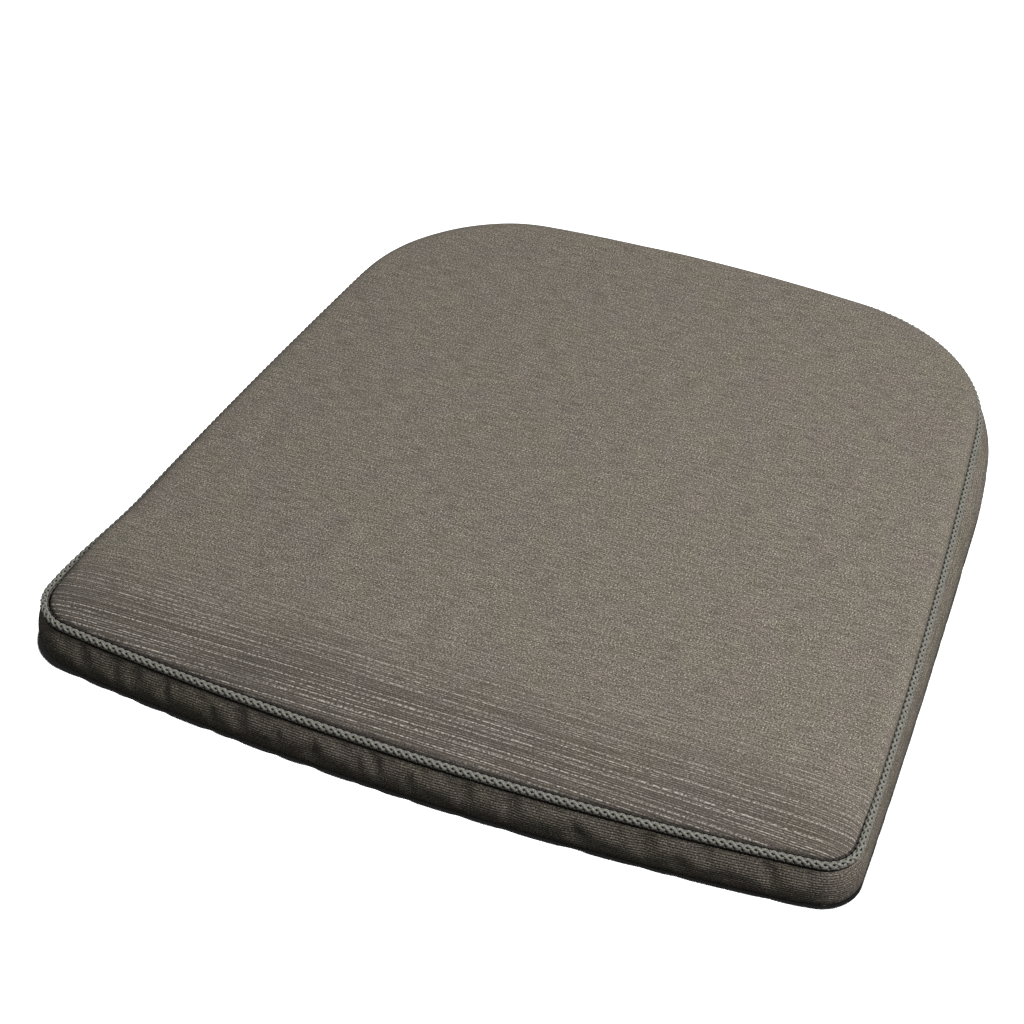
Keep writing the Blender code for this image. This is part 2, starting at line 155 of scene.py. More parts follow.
def stage_finish(name, grey, glow=0.0):
    """A matt grey without shine, which gives off this much white light."""
    finish, tree, shader = new_material(name)
    looks = {
        "Base Color": (grey, grey, grey),
        "Roughness": 0.9,
        "Specular IOR Level": 0.0,
        "Emission Color": (1.0, 1.0, 1.0),
        "Emission Strength": glow,
    }
    set_inputs(tree, shader, looks)
    return finish


def floor_sheet(name, height, grey, stage_pieces):
    size = FLOOR_HALF_SIZE
    mesh = bpy.data.meshes.new(name)
    corners = [(-size, -size, 0), (size, -size, 0), (size, size, 0), (-size, size, 0)]
    mesh.from_pydata(corners, [], [(0, 1, 2, 3)])
    mesh.materials.append(stage_finish(name, grey))
    sheet = bpy.data.objects.new(name, mesh)
    sheet.location.z = height
    stage_pieces.objects.link(sheet)
    return sheet


def make_studio(pad_pieces, stage_pieces):
    """A pale floor that is lit apart from the pad, and soft light on the pad from its right.

    The black sheet under the floor, which the camera can't see, keeps light off the pad's underside.
    """
    floor = floor_sheet("floor", 0.0, FLOOR_GREY, stage_pieces)
    floor.visible_diffuse = False
    floor.visible_glossy = False
    blocker = floor_sheet("floor_blocker", -BLOCKER_DROP, 0.0, stage_pieces)
    blocker.visible_camera = False
    bpy.ops.mesh.primitive_uv_sphere_add(segments=48, ring_count=24, radius=BACKDROP_RADIUS)
    backdrop = bpy.context.object
    backdrop.name = "backdrop"
    for ray in ("diffuse", "glossy", "transmission", "volume_scatter", "shadow"):
        setattr(backdrop, f"visible_{ray}", False)
    backdrop.data.materials.append(stage_finish("backdrop", 0.0, BACKDROP_GLOW))
    world = bpy.data.worlds.new("studio")
    world.use_nodes = True
    sky = world.node_tree.nodes["Background"]
    set_inputs(world.node_tree, sky, {"Color": (1.0, 1.0, 1.0), "Strength": WORLD_STRENGTH})
    bpy.context.scene.world = world
    area_light("floor_light", (0.28, -0.06, 3.0), 0.20, 780, stage_pieces)
    area_light("key_light", (1.60, -0.14, 1.88), 1.0, 48, pad_pieces, (1.0, 0.985, 0.975))
    area_light("back_light", (-0.9, 2.0, 0.04), 0.8, 10, pad_pieces)
    area_light("top_light", (0.18, -0.12, 1.1), 0.5, 2.7, pad_pieces)
    bpy.context.scene.view_settings.view_transform = "Standard"


# Plan


def bowed_edge(start, end, bow):
    """The centre and radius of the arc from start to end that bows out to the right of its way."""
    chord = end - start
    radius = (chord.length_squared / 4 + bow * bow) / (2 * bow)
    outward = Vector((chord.y, -chord.x)).normalized()
    return (start + end) / 2 - outward * (radius - bow), radius


def corner_centre(before, after, radius, sharp):
    """The centre of the rounding, of this radius, that touches both edges from inside."""
    reach_before = before[1] - radius
    reach_after = after[1] - radius
    between = after[0] - before[0]
    distance = between.length
    along = (reach_before**2 - reach_after**2 + distance**2) / (2 * distance)
    aside = math.sqrt(reach_before**2 - along**2)
    foot = before[0] + between * (along / distance)
    normal = Vector((-between.y, between.x)) / distance
    found = (foot + normal * aside, foot - normal * aside)
    return min(found, key=lambda point: (point - sharp).length)


def heading(centre, point):
    return math.atan2(point.y - centre.y, point.x - centre.x) % math.tau


def plan(sharp, bows, radii):
    """Eight arcs, anticlockwise from the front edge. The four sharp corners start at the front right."""
    edges = [bowed_edge(sharp[i - 1], sharp[i], bows[i]) for i in range(4)]
    corners = [corner_centre(edges[i], edges[(i + 1) % 4], radii[i], sharp[i]) for i in range(4)]
    arcs = []
    for i in range(4):
        centre, radius = edges[i]
        start = heading(centre, corners[i - 1])
        end = heading(centre, corners[i])
        if end < start:
            end += math.tau
        arcs.append(Arc(centre, radius, start, end))
        next_start = heading(edges[(i + 1) % 4][0], corners[i])
        if next_start < end - math.pi:
            next_start += math.tau
        arcs.append(Arc(corners[i], radii[i], end, next_start))
    return arcs


BOWS = (FRONT_BOW, SIDE_BOW, BACK_BOW, SIDE_BOW)
FRONT_Y = SEAM_FRONT + FRONT_BOW
BACK_Y = SEAM_BACK - BACK_BOW
SIDE_SLANT = (FRONT_WIDTH - BACK_WIDTH) / 2 / (BACK_Y - FRONT_Y)
SEAM = plan(
    [
        Vector((FRONT_WIDTH / 2, FRONT_Y)),
        Vector((BACK_WIDTH / 2, BACK_Y)),
        Vector((-BACK_WIDTH / 2, BACK_Y)),
        Vector((-FRONT_WIDTH / 2, FRONT_Y)),
    ],
    BOWS,
    (FRONT_RIGHT_CORNER, BACK_CORNER, BACK_CORNER, FRONT_LEFT_CORNER),
)
BACK_ARC = SEAM[4]
ARC_LENGTHS = [arc.radius * (arc.end - arc.start) for arc in SEAM]
SEAM_LENGTH = sum(ARC_LENGTHS)


def smoothstep(value, low, high):
    share = np.clip((value - low) / (high - low), 0.0, 1.0)
    return share * share * (3 - 2 * share)


def plateau():
    """The plan of the top's flat middle, where its rounded edge ends."""
    front = FRONT_Y + FRONT_RUN + PANEL_RADIUS
    back = BACK_Y - BACK_RUN - PANEL_RADIUS
    half_front = FRONT_WIDTH / 2 - SIDE_SLANT * (front - FRONT_Y) - SIDE_RUN - PANEL_RADIUS
    half_back = BACK_WIDTH / 2 + SIDE_SLANT * (BACK_Y - back) - SIDE_RUN - PANEL_RADIUS
    sharp = [
        Vector((half_front, front)),
        Vector((half_back, back)),
        Vector((-half_back, back)),
        Vector((-half_front, front)),
    ]
    back_corner = BACK_CORNER - BACK_RUN
    return plan(sharp, BOWS, (FLAT_RIGHT_CORNER, back_corner, back_corner, FLAT_LEFT_CORNER))


def settled(points):
    """The plan with its left side drawn in a little, as the pad lies."""
    share = smoothstep(-points[:, 0], 0.10, 0.19) * smoothstep(points[:, 1], -0.195, -0.115)
    moved = points.copy()
    moved[:, 0] += LEFT_DRAW * share
    return moved


def raised(points, height):
    """Points of the plan at this height, or each at its own, as (N, 3)."""
    return np.column_stack([points, np.broadcast_to(height, len(points))])


def steps_of(spacing):
    """How many steps each arc of the seam takes at this spacing."""
    return [max(4, round(length / spacing)) for length in ARC_LENGTHS]


def outline(arcs, steps, closed=True):
    """Points along the arcs and the normals out of them, as two arrays."""
    points = []
    normals = []
    for index, (arc, count) in enumerate(zip(arcs, steps)):
        last = not closed and index == len(arcs) - 1
        turns = arc.start + (arc.end - arc.start) * np.arange(count + last) / count
        normal = np.stack([np.cos(turns), np.sin(turns)], axis=1)
        points.append(np.array(arc.centre) + arc.radius * normal)
        normals.append(normal)
    return settled(np.concatenate(points)), np.concatenate(normals)


def distances(points, closed=True):
    """How far along the outline each point lies, from the first, and the whole length."""
    following = np.roll(points, -1, axis=0) if closed else points[1:]
    lengths = np.linalg.norm(following - points[: len(following)], axis=1)
    along = np.concatenate([[0.0], np.cumsum(lengths)])
    return along[: len(points)], along[-1]


# Ways to make a piece


def add_piece(name, mesh, finish, body="pad"):
    mesh.shade_smooth()
    mesh.materials.append(finish)
    piece = bpy.data.objects.new(name, mesh)
    bpy.context.scene.collection.objects.link(piece)
    pad_pieces.objects.link(piece)
    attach(piece, body)
    return piece


def grid_faces(rows, columns, around, over=False, flip=False):
    """Quads of a grid of points. around joins its last column to its first, over its last row."""
    spans = np.arange(columns if around else columns - 1)
    starts = np.arange(rows if over else rows - 1)
    low = (starts[:, None] * columns + spans[None, :]).ravel()
    following = (spans[None, :] + 1) % columns
    above = (starts[:, None] + 1) % rows * columns
    low_next = (starts[:, None] * columns + following).ravel()
    high = (above + spans[None, :]).ravel()
    high_next = (above + following).ravel()
    faces = np.stack([low, low_next, high_next, high], axis=1)
    return faces[:, ::-1] if flip else faces


def mesh_of(name, points, faces, weave=None, more_faces=()):
    """A mesh of these points (N x 3) and quads, with the weave (N x 2) as an attribute."""
    mesh = bpy.data.meshes.new(name)
    mesh.from_pydata(points.tolist(), [], faces.tolist() + list(more_faces))
    if weave is not None:
        attribute = mesh.attributes.new("weave", "FLOAT_VECTOR", "POINT")
        values = np.zeros((len(points), 3), np.float32)
        values[:, : weave.shape[1]] = weave
        attribute.data.foreach_set("vector", values.ravel())
    mesh.update()
    return mesh


def merge_meshes(name, shapes):
    """One mesh of several (points, faces) or (points, faces, weave)."""
    points = np.concatenate([shape[0] for shape in shapes])
    offsets = np.cumsum([0] + [len(shape[0]) for shape in shapes[:-1]])
    faces = np.concatenate([shape[1] + offset for shape, offset in zip(shapes, offsets)])
    weave = np.concatenate([shape[2] for shape in shapes]) if len(shapes[0]) > 2 else None
    return mesh_of(name, points, faces, weave)


def thicken(piece, thickness):
    modifier = piece.modifiers.new("Solidify", "SOLIDIFY")
    modifier.thickness = thickness
    modifier.offset = -1.0


def tube(path, radius, sides, closed, flatten=1.0, up=None):
    """(points, faces) of a tube along the path (N x 3); flatten scales it across the up direction."""
    following = np.roll(path, -1, axis=0) - np.roll(path, 1, axis=0)
    if not closed:
        following[0] = path[1] - path[0]
        following[-1] = path[-1] - path[-2]
    along = following / np.linalg.norm(following, axis=1, keepdims=True)
    if up is None:
        up = np.broadcast_to(np.array([0.0, 0.0, 1.0]), path.shape)
    side = np.cross(along, up)
    side /= np.linalg.norm(side, axis=1, keepdims=True)
    over = np.cross(side, along)
    turns = np.arange(sides) * math.tau / sides
    ring = np.cos(turns)[None, :, None] * side[:, None, :]
    ring = ring + flatten * np.sin(turns)[None, :, None] * over[:, None, :]
    radii = np.broadcast_to(np.asarray(radius, float).reshape(-1, 1, 1), (len(path), 1, 1))
    points = path[:, None, :] + radii * ring
    faces = grid_faces(len(path), sides, True, over=closed, flip=True)
    return points.reshape(-1, 3), faces


def noise_at(points, size, seed):
    """Smooth noise of this feature size at each point, from -1 to 1."""
    shift = Vector((seed * 17.3, seed * 5.1, seed * 11.7))
    return np.array([noise.noise(Vector(point) / size + shift) for point in points])


# Materials

RIB = 0.0016  # pitch of the cloth's weft ribs
LINE_PITCH = 0.0028  # of the ribs that carry painted highlights
FINE_PITCH = LINE_PITCH / 2.27  # of the finer painted highlights between them
MELANGE = (
    (0.30, (0.036, 0.030, 0.024)),
    (0.45, (0.168, 0.149, 0.121)),
    (0.57, (0.225, 0.202, 0.166)),
    (0.70, (0.620, 0.566, 0.490)),
)
# Painted colours of the cover: shade in the rib troughs near the front, highlights on the ribs, shade in
# the groove by the cord
TROUGH_PAINTED_SHADE_COLOUR = (0.075, 0.062, 0.054)
RIB_PAINTED_HIGHLIGHT_COLOUR = (0.85, 0.79, 0.72)
GROOVE_PAINTED_SHADE_COLOUR = (0.006, 0.005, 0.004)
CORD_FIBRES = 3.0  # seen side by side on a strand


def new_material(name):
    finish = bpy.data.materials.new(name)
    finish.use_nodes = True
    return finish, finish.node_tree, finish.node_tree.nodes["Principled BSDF"]


def set_inputs(tree, node, values):
    """Links an input, by name or number, to the socket given for it, or sets it to a value or a colour."""
    for key, value in values.items():
        slot = node.inputs[key]
        if isinstance(value, bpy.types.NodeSocket):
            tree.links.new(value, slot)
        elif slot.type == "RGBA":
            slot.default_value = (*value, 1.0)
        else:
            slot.default_value = value


def math_node(tree, operation, *values):
    node = tree.nodes.new("ShaderNodeMath")
    node.operation = operation
    set_inputs(tree, node, dict(enumerate(values)))
    return node.outputs[0]


def wave(tree, value, pitch):
    """A sine along the value."""
    return math_node(tree, "SINE", math_node(tree, "MULTIPLY", value, math.tau / pitch))


def ramp(tree, value, stops):
    """A colour ramp over (place, grey or colour) stops."""
    node = tree.nodes.new("ShaderNodeValToRGB")
    elements = node.color_ramp.elements
    while len(elements) < len(stops):
        elements.new(0.5)
    for element, (place, colour) in zip(elements, stops):
        element.position = place
        if isinstance(colour, (int, float)):
            colour = (colour, colour, colour)
        element.color = (*colour, 1.0)
    tree.links.new(value, node.inputs[0])
    return node.outputs[0]


def noise_node(tree, vector, scale, detail=2.0, roughness=0.5):
    """Noise of this scale, or stretched when three scales are given."""
    if isinstance(scale, tuple):
        mapping = tree.nodes.new("ShaderNodeMapping")
        set_inputs(tree, mapping, {"Vector": vector, "Scale": scale})
        vector = mapping.outputs[0]
        scale = 1.0
    node = tree.nodes.new("ShaderNodeTexNoise")
    looks = {"Vector": vector, "Scale": scale, "Detail": detail, "Roughness": roughness}
    set_inputs(tree, node, looks)
    return node.outputs[0]


def object_noise(tree, scale, detail, roughness=0.5):
    coordinates = tree.nodes.new("ShaderNodeTexCoord").outputs["Object"]
    return noise_node(tree, coordinates, scale, detail, roughness)


def mix_colours(tree, factor, first, second, blend="MIX"):
    node = tree.nodes.new("ShaderNodeMix")
    node.data_type = "RGBA"
    node.blend_type = blend
    set_inputs(tree, node, {0: factor, 6: first, 7: second})
    return node.outputs[2]


def tinted(tree, colour, tint):
    return mix_colours(tree, 1.0, colour, tint, "MULTIPLY")


def weave_parts(tree):
    """The weave, then its parts: along the cloth, across it, and how much painted shade darkens it."""
    place = tree.nodes.new("ShaderNodeAttribute")
    place.attribute_name = "weave"
    parts = tree.nodes.new("ShaderNodeSeparateXYZ")
    tree.links.new(place.outputs["Vector"], parts.inputs[0])
    return place.outputs["Vector"], *parts.outputs


def finish_surface(tree, shader, relief, depth, strength, looks):
    """Gives the shader this relief and its other inputs."""
    bump = tree.nodes.new("ShaderNodeBump")
    set_inputs(tree, bump, {"Height": relief, "Distance": depth, "Strength": strength})
    set_inputs(tree, shader, {"Normal": bump.outputs[0], **looks})


def painted_highlight_lines(tree, weave, line_wave, crest, patches, chosen):
    """Painted highlight lines on the crests of a wave, broken into lengths where stretched noise is high.
    """
    height = math_node(tree, "MULTIPLY_ADD", line_wave, 0.5, 0.5)
    picked = noise_node(tree, weave, patches, 1.5)
    return math_node(tree, "MULTIPLY", ramp(tree, height, crest), ramp(tree, picked, chosen))


def cover_fabric(name, streaks_from, streaks_to, painted_shade_tone=1.0):
    """Melange ribbed cloth. Painted highlights in light lines on its ribs, and painted shade in the
    troughs between them, fade out between these two places across it.
    """
    finish, tree, shader = new_material(name)
    weave, _, down, painted_groove_shade = weave_parts(tree)

    def toned(colour):
        return tuple(part * painted_shade_tone for part in colour)

    wobble = noise_node(tree, weave, 60.0, 1.0)
    across = math_node(tree, "MULTIPLY_ADD", wobble, 0.0003, down)
    rib_wave = wave(tree, across, RIB)
    line_wave = wave(tree, across, LINE_PITCH)
    fine_wave = wave(tree, across, FINE_PITCH)
    speckle = noise_node(tree, weave, (1000, 1700, 1), 1.0, 0.6)
    threads = noise_node(tree, weave, (70, 640, 1), 2.0, 0.65)
    beads = noise_node(tree, weave, (620, 900, 1), 1.0)
    clouds = noise_node(tree, weave, 30.0, 1.0)
    colour = ramp(tree, speckle, [(place, toned(shade)) for place, shade in MELANGE])
    colour = tinted(tree, colour, ramp(tree, threads, [(0.32, 0.74), (0.68, 1.26)]))
    rib_share = math_node(tree, "MULTIPLY_ADD", rib_wave, 0.5, 0.5)
    colour = tinted(tree, colour, ramp(tree, rib_share, [(0.0, 0.90), (1.0, 1.08)]))
    hues = [(0.38, (1.00, 0.975, 1.00)), (0.62, (0.995, 1.00, 0.955))]
    colour = tinted(tree, colour, ramp(tree, clouds, hues))
    nearness = tree.nodes.new("ShaderNodeMapRange")
    nearness.interpolation_type = "SMOOTHSTEP"
    limits = {"From Min": streaks_to, "From Max": streaks_from, "To Min": 0.10, "To Max": 1.0}
    set_inputs(tree, nearness, {"Value": down, **limits})
    near = nearness.outputs[0]
    # Painted highlights: light lines on the ribs, strongest near the front edge
    crest = [(0.84, 0.0), (0.98, 1.0)]
    chosen = [(0.40, 0.1), (0.55, 1.0)]
    line = painted_highlight_lines(tree, weave, line_wave, crest, (11, 360, 1), chosen)
    crest = [(0.75, 0.0), (0.98, 0.7)]
    chosen = [(0.46, 0.0), (0.60, 1.0)]
    fine = painted_highlight_lines(tree, weave, fine_wave, crest, (17, 520, 7), chosen)
    bright = ramp(tree, beads, [(0.42, 0.05), (0.60, 0.80)])
    amount = math_node(tree, "MULTIPLY", math_node(tree, "MAXIMUM", line, fine), near)
    amount = math_node(tree, "MULTIPLY", amount, bright)
    # Painted shade: the troughs between the finer ribs darken, most near the front edge
    trough = ramp(tree, fine_wave, [(0.0, 0.80), (0.5, 0.42)])
    shade = math_node(tree, "MULTIPLY", trough, math_node(tree, "POWER", near, 1.6))
    colour = mix_colours(tree, shade, colour, toned(TROUGH_PAINTED_SHADE_COLOUR))
    colour = mix_colours(tree, amount, colour, toned(RIB_PAINTED_HIGHLIGHT_COLOUR))
    # Painted shade: the groove beside the cord and the lip over it go near black
    colour = mix_colours(tree, painted_groove_shade, colour, GROOVE_PAINTED_SHADE_COLOUR)
    relief = math_node(tree, "MULTIPLY_ADD", speckle, 1.4, rib_wave)
    looks = {"Base Color": colour, "Roughness": 0.88, "Specular IOR Level": 0.25}
    finish_surface(tree, shader, relief, 0.00012, 0.8, looks)
    return finish


def plain_fabric(name, dark, light, size, bump, roughness=0.9):
    """A close matt cloth, yarn or fibre, from one colour to another over grains of this size."""
    finish, tree, shader = new_material(name)
    grain = object_noise(tree, 1 / size, 2.0, 0.6)
    colour = ramp(tree, grain, [(0.32, dark), (0.68, light)])
    looks = {"Base Color": colour, "Roughness": roughness, "Specular IOR Level": 0.3}
    finish_surface(tree, shader, grain, bump, 0.7, looks)
    return finish


def yarn_fabric(name, dark, light, twist_pitch):
    """A braided yarn: fine fibres wind round each strand. Its weave is (along the strand, round it)."""
    finish, tree, shader = new_material(name)
    _, along, round_it, _ = weave_parts(tree)
    turned = math_node(tree, "MULTIPLY", along, math.tau / twist_pitch)
    phase = math_node(tree, "ADD", turned, round_it)
    fibres = math_node(tree, "SINE", math_node(tree, "MULTIPLY", phase, CORD_FIBRES))
    grain = object_noise(tree, 1400.0, 2.0, 0.6)
    height = math_node(tree, "MULTIPLY_ADD", fibres, 0.5, 0.5)
    colour = ramp(tree, grain, [(0.30, dark), (0.70, light)])
    colour = tinted(tree, colour, ramp(tree, height, [(0.0, 0.62), (1.0, 1.12)]))
    relief = math_node(tree, "MULTIPLY_ADD", fibres, 0.4, grain)
    looks = {"Base Color": colour, "Roughness": 0.8, "Specular IOR Level": 0.35, "Sheen Weight": 0.1}
    finish_surface(tree, shader, relief, 0.0001, 0.8, looks)
    return finish


def plastic(name, dark, light, roughness):
    finish, tree, shader = new_material(name)
    grain = object_noise(tree, 300.0, 3.0)
    colour = ramp(tree, grain, [(0.3, dark), (0.7, light)])
    rough = ramp(tree, grain, [(0.3, roughness - 0.08), (0.7, roughness + 0.08)])
    finish_surface(tree, shader, grain, 0.00002, 1.0, {"Base Color": colour, "Roughness": rough})
    return finish


def metal(name, colour, worn, roughness):
    """Plated zinc, lighter where it is worn."""
    finish, tree, shader = new_material(name)
    wear = object_noise(tree, 420.0, 4.0, 0.65)
    plated = ramp(tree, wear, [(0.45, colour), (0.75, worn)])
    rough = ramp(tree, wear, [(0.3, roughness), (0.8, roughness + 0.2)])
    looks = {"Base Color": plated, "Roughness": rough, "Metallic": 1.0}
    finish_surface(tree, shader, wear, 0.00002, 1.0, looks)
    return finish


# The top of the pad

EDGE_RISE = TOP - CROWN_RISE - SEAM_HEIGHT
# Painted shade in the groove beside the cord, and under the top panel's lean over the cord on its right
# side
GROOVE_PAINTED_SHADE = 0.92
LIP_FROM_X = 0.1


def uneven_top(points):
    """Lets the top lie a little unevenly, as cloth over foam does, but not at its seam."""
    free = smoothstep(points[:, 2], SEAM_HEIGHT + 0.002, SEAM_HEIGHT + 0.010)
    wide = noise_at(points * np.array([1, 1, 0]), 0.085, 1)
    close = noise_at(points * np.array([1, 1, 0]), 0.028, 2)
    points[:, 2] += free * (0.0007 * wide + 0.00022 * close)


def top_rings(steps, inset=0.0, edge_steps=16, crown_steps=40):
    """The top's rings from its side in, this far inside the cover, its middle and its height there."""
    seam, normals = outline(SEAM, steps)
    inner, _ = outline(plateau(), steps)
    frontness = 1 - smoothstep(seam[:, 1], FRONT_Y - 0.004, FRONT_Y + 0.07)
    left = smoothstep(-normals[:, 0], 0.0, 0.9) * smoothstep(seam[:, 1], -0.20, 0.02)
    right = smoothstep(normals[:, 0], 0.3, 0.95) * (1 - frontness)
    lean = np.maximum(OVERHANG * left, RIGHT_OVERHANG * right)
    lift = OVERHANG_RISE * np.maximum(left, right)
    power = 0.6 + 0.85 * frontness
    start = seam - normals * (PANEL_RADIUS + 2.2 * inset)
    rings = []
    for turn in np.linspace(0, math.pi / 2, 5)[:-1]:
        points = start + normals * (lean * (1 - math.cos(turn)))[:, None]
        rings.append(raised(points, SEAM_HEIGHT + lift * math.sin(turn)))
    start = start + normals * lean[:, None]
    base = SEAM_HEIGHT + lift
    backness = smoothstep(normals[:, 1], 0.3, 0.9)
    power = power + 0.18 * backness
    rise = SEAM_HEIGHT + EDGE_RISE - inset - base
    for turn in np.linspace(0, math.pi / 2, edge_steps + 1):
        inward = 1 - math.cos(turn) ** power if turn < math.pi / 2 else np.ones(len(power))
        upward = math.sin(turn) ** power
        points = start + (inner - start) * inward[:, None]
        rings.append(raised(points, base + rise * upward))
    middle = inner.mean(axis=0)
    for scale in np.linspace(1, 0, crown_steps + 1)[1:-1]:
        points = middle + (inner - middle) * scale
        height = SEAM_HEIGHT + EDGE_RISE - inset + CROWN_RISE * (1 - scale**2)
        rings.append(raised(points, height))
    rings = np.array(rings)
    points = rings.reshape(-1, 3)
    points[:, 2] += inset
    uneven_top(points)
    points[:, 2] -= inset
    return rings, middle, SEAM_HEIGHT + EDGE_RISE - inset + CROWN_RISE


def tuck_rings(steps, count=4):
    """Rings of the top panel's edge, which runs on round the cord and under it."""
    seam, normals = outline(SEAM, steps)
    rings = []
    for turn in np.linspace(math.pi + PANEL_TUCK, math.pi, count + 1)[:-1]:
        points = seam + normals * PANEL_RADIUS * math.cos(turn)
        rings.append(raised(points, SEAM_HEIGHT + PANEL_RADIUS * math.sin(turn)))
    return np.array(rings)


def fan(first, count, middle):
    """Triangles from a closed ring to the point in its middle."""
    return [(first + i, first + (i + 1) % count, middle) for i in range(count)]


def domed(rings, middle, flip=False):
    """(points, faces, closing faces) of rings from an edge in to the point in their middle."""
    count = rings.shape[1]
    points = np.concatenate([rings.reshape(-1, 3), [middle]])
    last = (len(rings) - 1) * count
    closing = [face[::-1] if flip else face for face in fan(last, count, last + count)]
    return points, grid_faces(len(rings), count, True, flip=flip), closing


def make_top_panel(fabric):
    steps = steps_of(0.0032)
    rings, middle, height = top_rings(steps)
    rings = np.concatenate([tuck_rings(steps), rings])
    points, faces, closing = domed(rings, [*middle, height])
    # The groove beside the cord, and the underside of the lean over it, are darkened with painted shade.
    groove = 1 - smoothstep(points[:, 2], SEAM_HEIGHT + 0.0002, SEAM_HEIGHT + 0.0015)
    lip = np.interp(np.arange(len(points)) // rings.shape[1], (LIP_RING, LIP_RING + 2), (1.0, 0.0))
    shade = GROOVE_PAINTED_SHADE * np.maximum(groove, lip * (points[:, 0] > LIP_FROM_X))
    normals = np.concatenate([np.tile(outline(SEAM, steps)[1], (len(rings), 1)), [[0.0, 0.0]]])
    normals[:, 1] = np.maximum(normals[:, 1], 0.0)  # the front's slubs stay straight
    drop = np.maximum(SEAM_HEIGHT + EDGE_RISE - points[:, 2], 0.0)
    weave = np.column_stack([points[:, :2] + normals * drop[:, None], shade])
    mesh = mesh_of("top_panel_cloth", points, faces, weave, closing)
    piece = add_piece("top_panel_cloth", mesh, fabric)
    thicken(piece, CLOTH)
    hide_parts("top_panel")


# The gusset

GUSSET_TOP = SEAM_HEIGHT - CORD_RADIUS - 0.0008
GUSSET_TOP_OFFSET = 0.0007
GUSSET_OFFSET = GUSSET_BULGE - 0.0001  # of the cloth's outside
BOTTOM_SEAM_OFFSET = GUSSET_BULGE - FOOT_RADIUS
SWELL_START = 0.0014
SWELL_FULL = 0.62  # the share of the way down where the cloth bulges most
KNOT_BLUR = 25  # places that each knot is averaged over
# Offsets from the seam, by the place along the gusset counted in arcs from the zip's left end.
BULGE_KNOTS = (
    (0.0, 0.0083), (1.0, 0.0080), (1.7, 0.0066), (2.0, 0.0058), (2.5, 0.0046),
    (3.0, 0.0058), (3.5, 0.0060), (4.0, 0.0056), (4.2, 0.0056), (4.5, 0.0036),
    (5.0, 0.0038), (5.25, 0.0050), (5.5, 0.0066), (5.75, 0.0090), (5.9, 0.0110),
    (6.0, 0.0095), (6.15, 0.0070), (6.5, 0.0075), (7.0, 0.0083),
)
BOTTOM_KNOTS = (
    (0.0, 0.0039), (2.0, 0.0033), (2.35, 0.0016), (2.6, 0.0006), (2.9, 0.0030),
    (3.05, 0.0043), (4.2, 0.0042), (4.45, 0.0012), (4.8, 0.0008), (5.0, 0.0014),
    (5.15, 0.0026), (5.3, 0.0037), (7.0, 0.0039),
)


def around(knots, at_zip, steps):
    """The knots' value at each point of the closed outline with these steps, and at_zip along the zip."""
    first_places = (3, 4, 5, 6, None, 0, 1, 2)
    values = []
    for first, count in zip(first_places, steps):
        shares = np.arange(count) / count
        if first is None:
            values.append(np.full(count, at_zip))
        else:
            values.append(np.interp(first + shares, *zip(*knots)))
    return np.concatenate(values)


def evened(offsets, heights, count):
    """The section resampled to this many points at even distances along it."""
    lengths = np.concatenate([[0], np.cumsum(np.hypot(np.diff(offsets), np.diff(heights)))])
    even = np.linspace(0, lengths[-1], count)
    return np.interp(even, lengths, offsets), np.interp(even, lengths, heights)


def zip_section(count):
    """Offsets and heights of the gusset's outside at the zip, from the top seam to the bottom seam."""
    turns = np.linspace(0, math.pi / 2, 40)
    run = GUSSET_OFFSET - GUSSET_TOP_OFFSET
    offsets = [GUSSET_TOP_OFFSET + run * np.sin(turns)]
    heights = [GUSSET_TOP - GUSSET_SHOULDER * (1 - np.cos(turns))]
    foot = GUSSET_OFFSET - BOTTOM_SEAM_OFFSET
    offsets.append(BOTTOM_SEAM_OFFSET + foot * np.cos(turns))
    heights.append(FOOT_HEIGHT + foot * (1 - np.sin(turns)))
    return evened(np.concatenate(offsets), np.concatenate(heights), count)


def loose_section(bulge, low, count):
    """A section that bulges out to this offset below its middle and ends at the offset low."""
    down = np.linspace(0, 1, 60)
    heights = GUSSET_TOP * (1 - down) + FOOT_HEIGHT * down
    swell = np.sin(math.pi / 2 * np.clip(down / SWELL_FULL, 0, 1)) ** 0.8
    upper = SWELL_START + (bulge - SWELL_START) * swell
    lower = bulge + (low - bulge) * np.clip((down - SWELL_FULL) / (1 - SWELL_FULL), 0, 1) ** 3.2
    return evened(np.where(down < SWELL_FULL, upper, lower), heights, count)


def blurred(values):
    return np.convolve(np.pad(values, KNOT_BLUR // 2, "edge"), np.ones(KNOT_BLUR) / KNOT_BLUR, "valid")


def gusset_sections(places, count):
    """Offsets and heights of the sections at these places along the gusset, as (count, N) arrays."""
    bulge = blurred(np.interp(places, *zip(*BULGE_KNOTS)))
    low = blurred(np.interp(places, *zip(*BOTTOM_KNOTS)))
    end_offsets, end_heights = zip_section(count)
    offsets = np.empty((count, len(places)))
    heights = np.empty((count, len(places)))
    for column, place in enumerate(places):
        loose_offsets, loose_heights = loose_section(bulge[column], low[column], count)
        near_zip = float(smoothstep(max(0.75 - place, place - 6.25), 0.0, 0.70))
        offsets[:, column] = loose_offsets * (1 - near_zip) + end_offsets * near_zip
        heights[:, column] = loose_heights * (1 - near_zip) + end_heights * near_zip
    return offsets, heights


def gathers(along, down, total, chance, strength, spacing, width, reach):
    """How far gathers draw the cloth in, at each place along it and share of the way down."""
    drawn = np.zeros((len(down), len(along)))
    at = spacing / 2
    while at < total:
        share = at / total
        depth = strength(share) * chance.uniform(0.25, 1.0)
        half = width * chance.uniform(0.7, 1.4)
        lean = chance.uniform(-0.003, 0.003)
        length = reach * chance.uniform(0.6, 1.3)
        line = at + lean * down[:, None]
        fold = np.exp(-(((along[None, :] - line) / half) ** 2))
        drawn += depth * fold * np.exp(-((down[:, None] / length) ** 2))
        at += spacing * chance.uniform(0.55, 1.5)
    return drawn


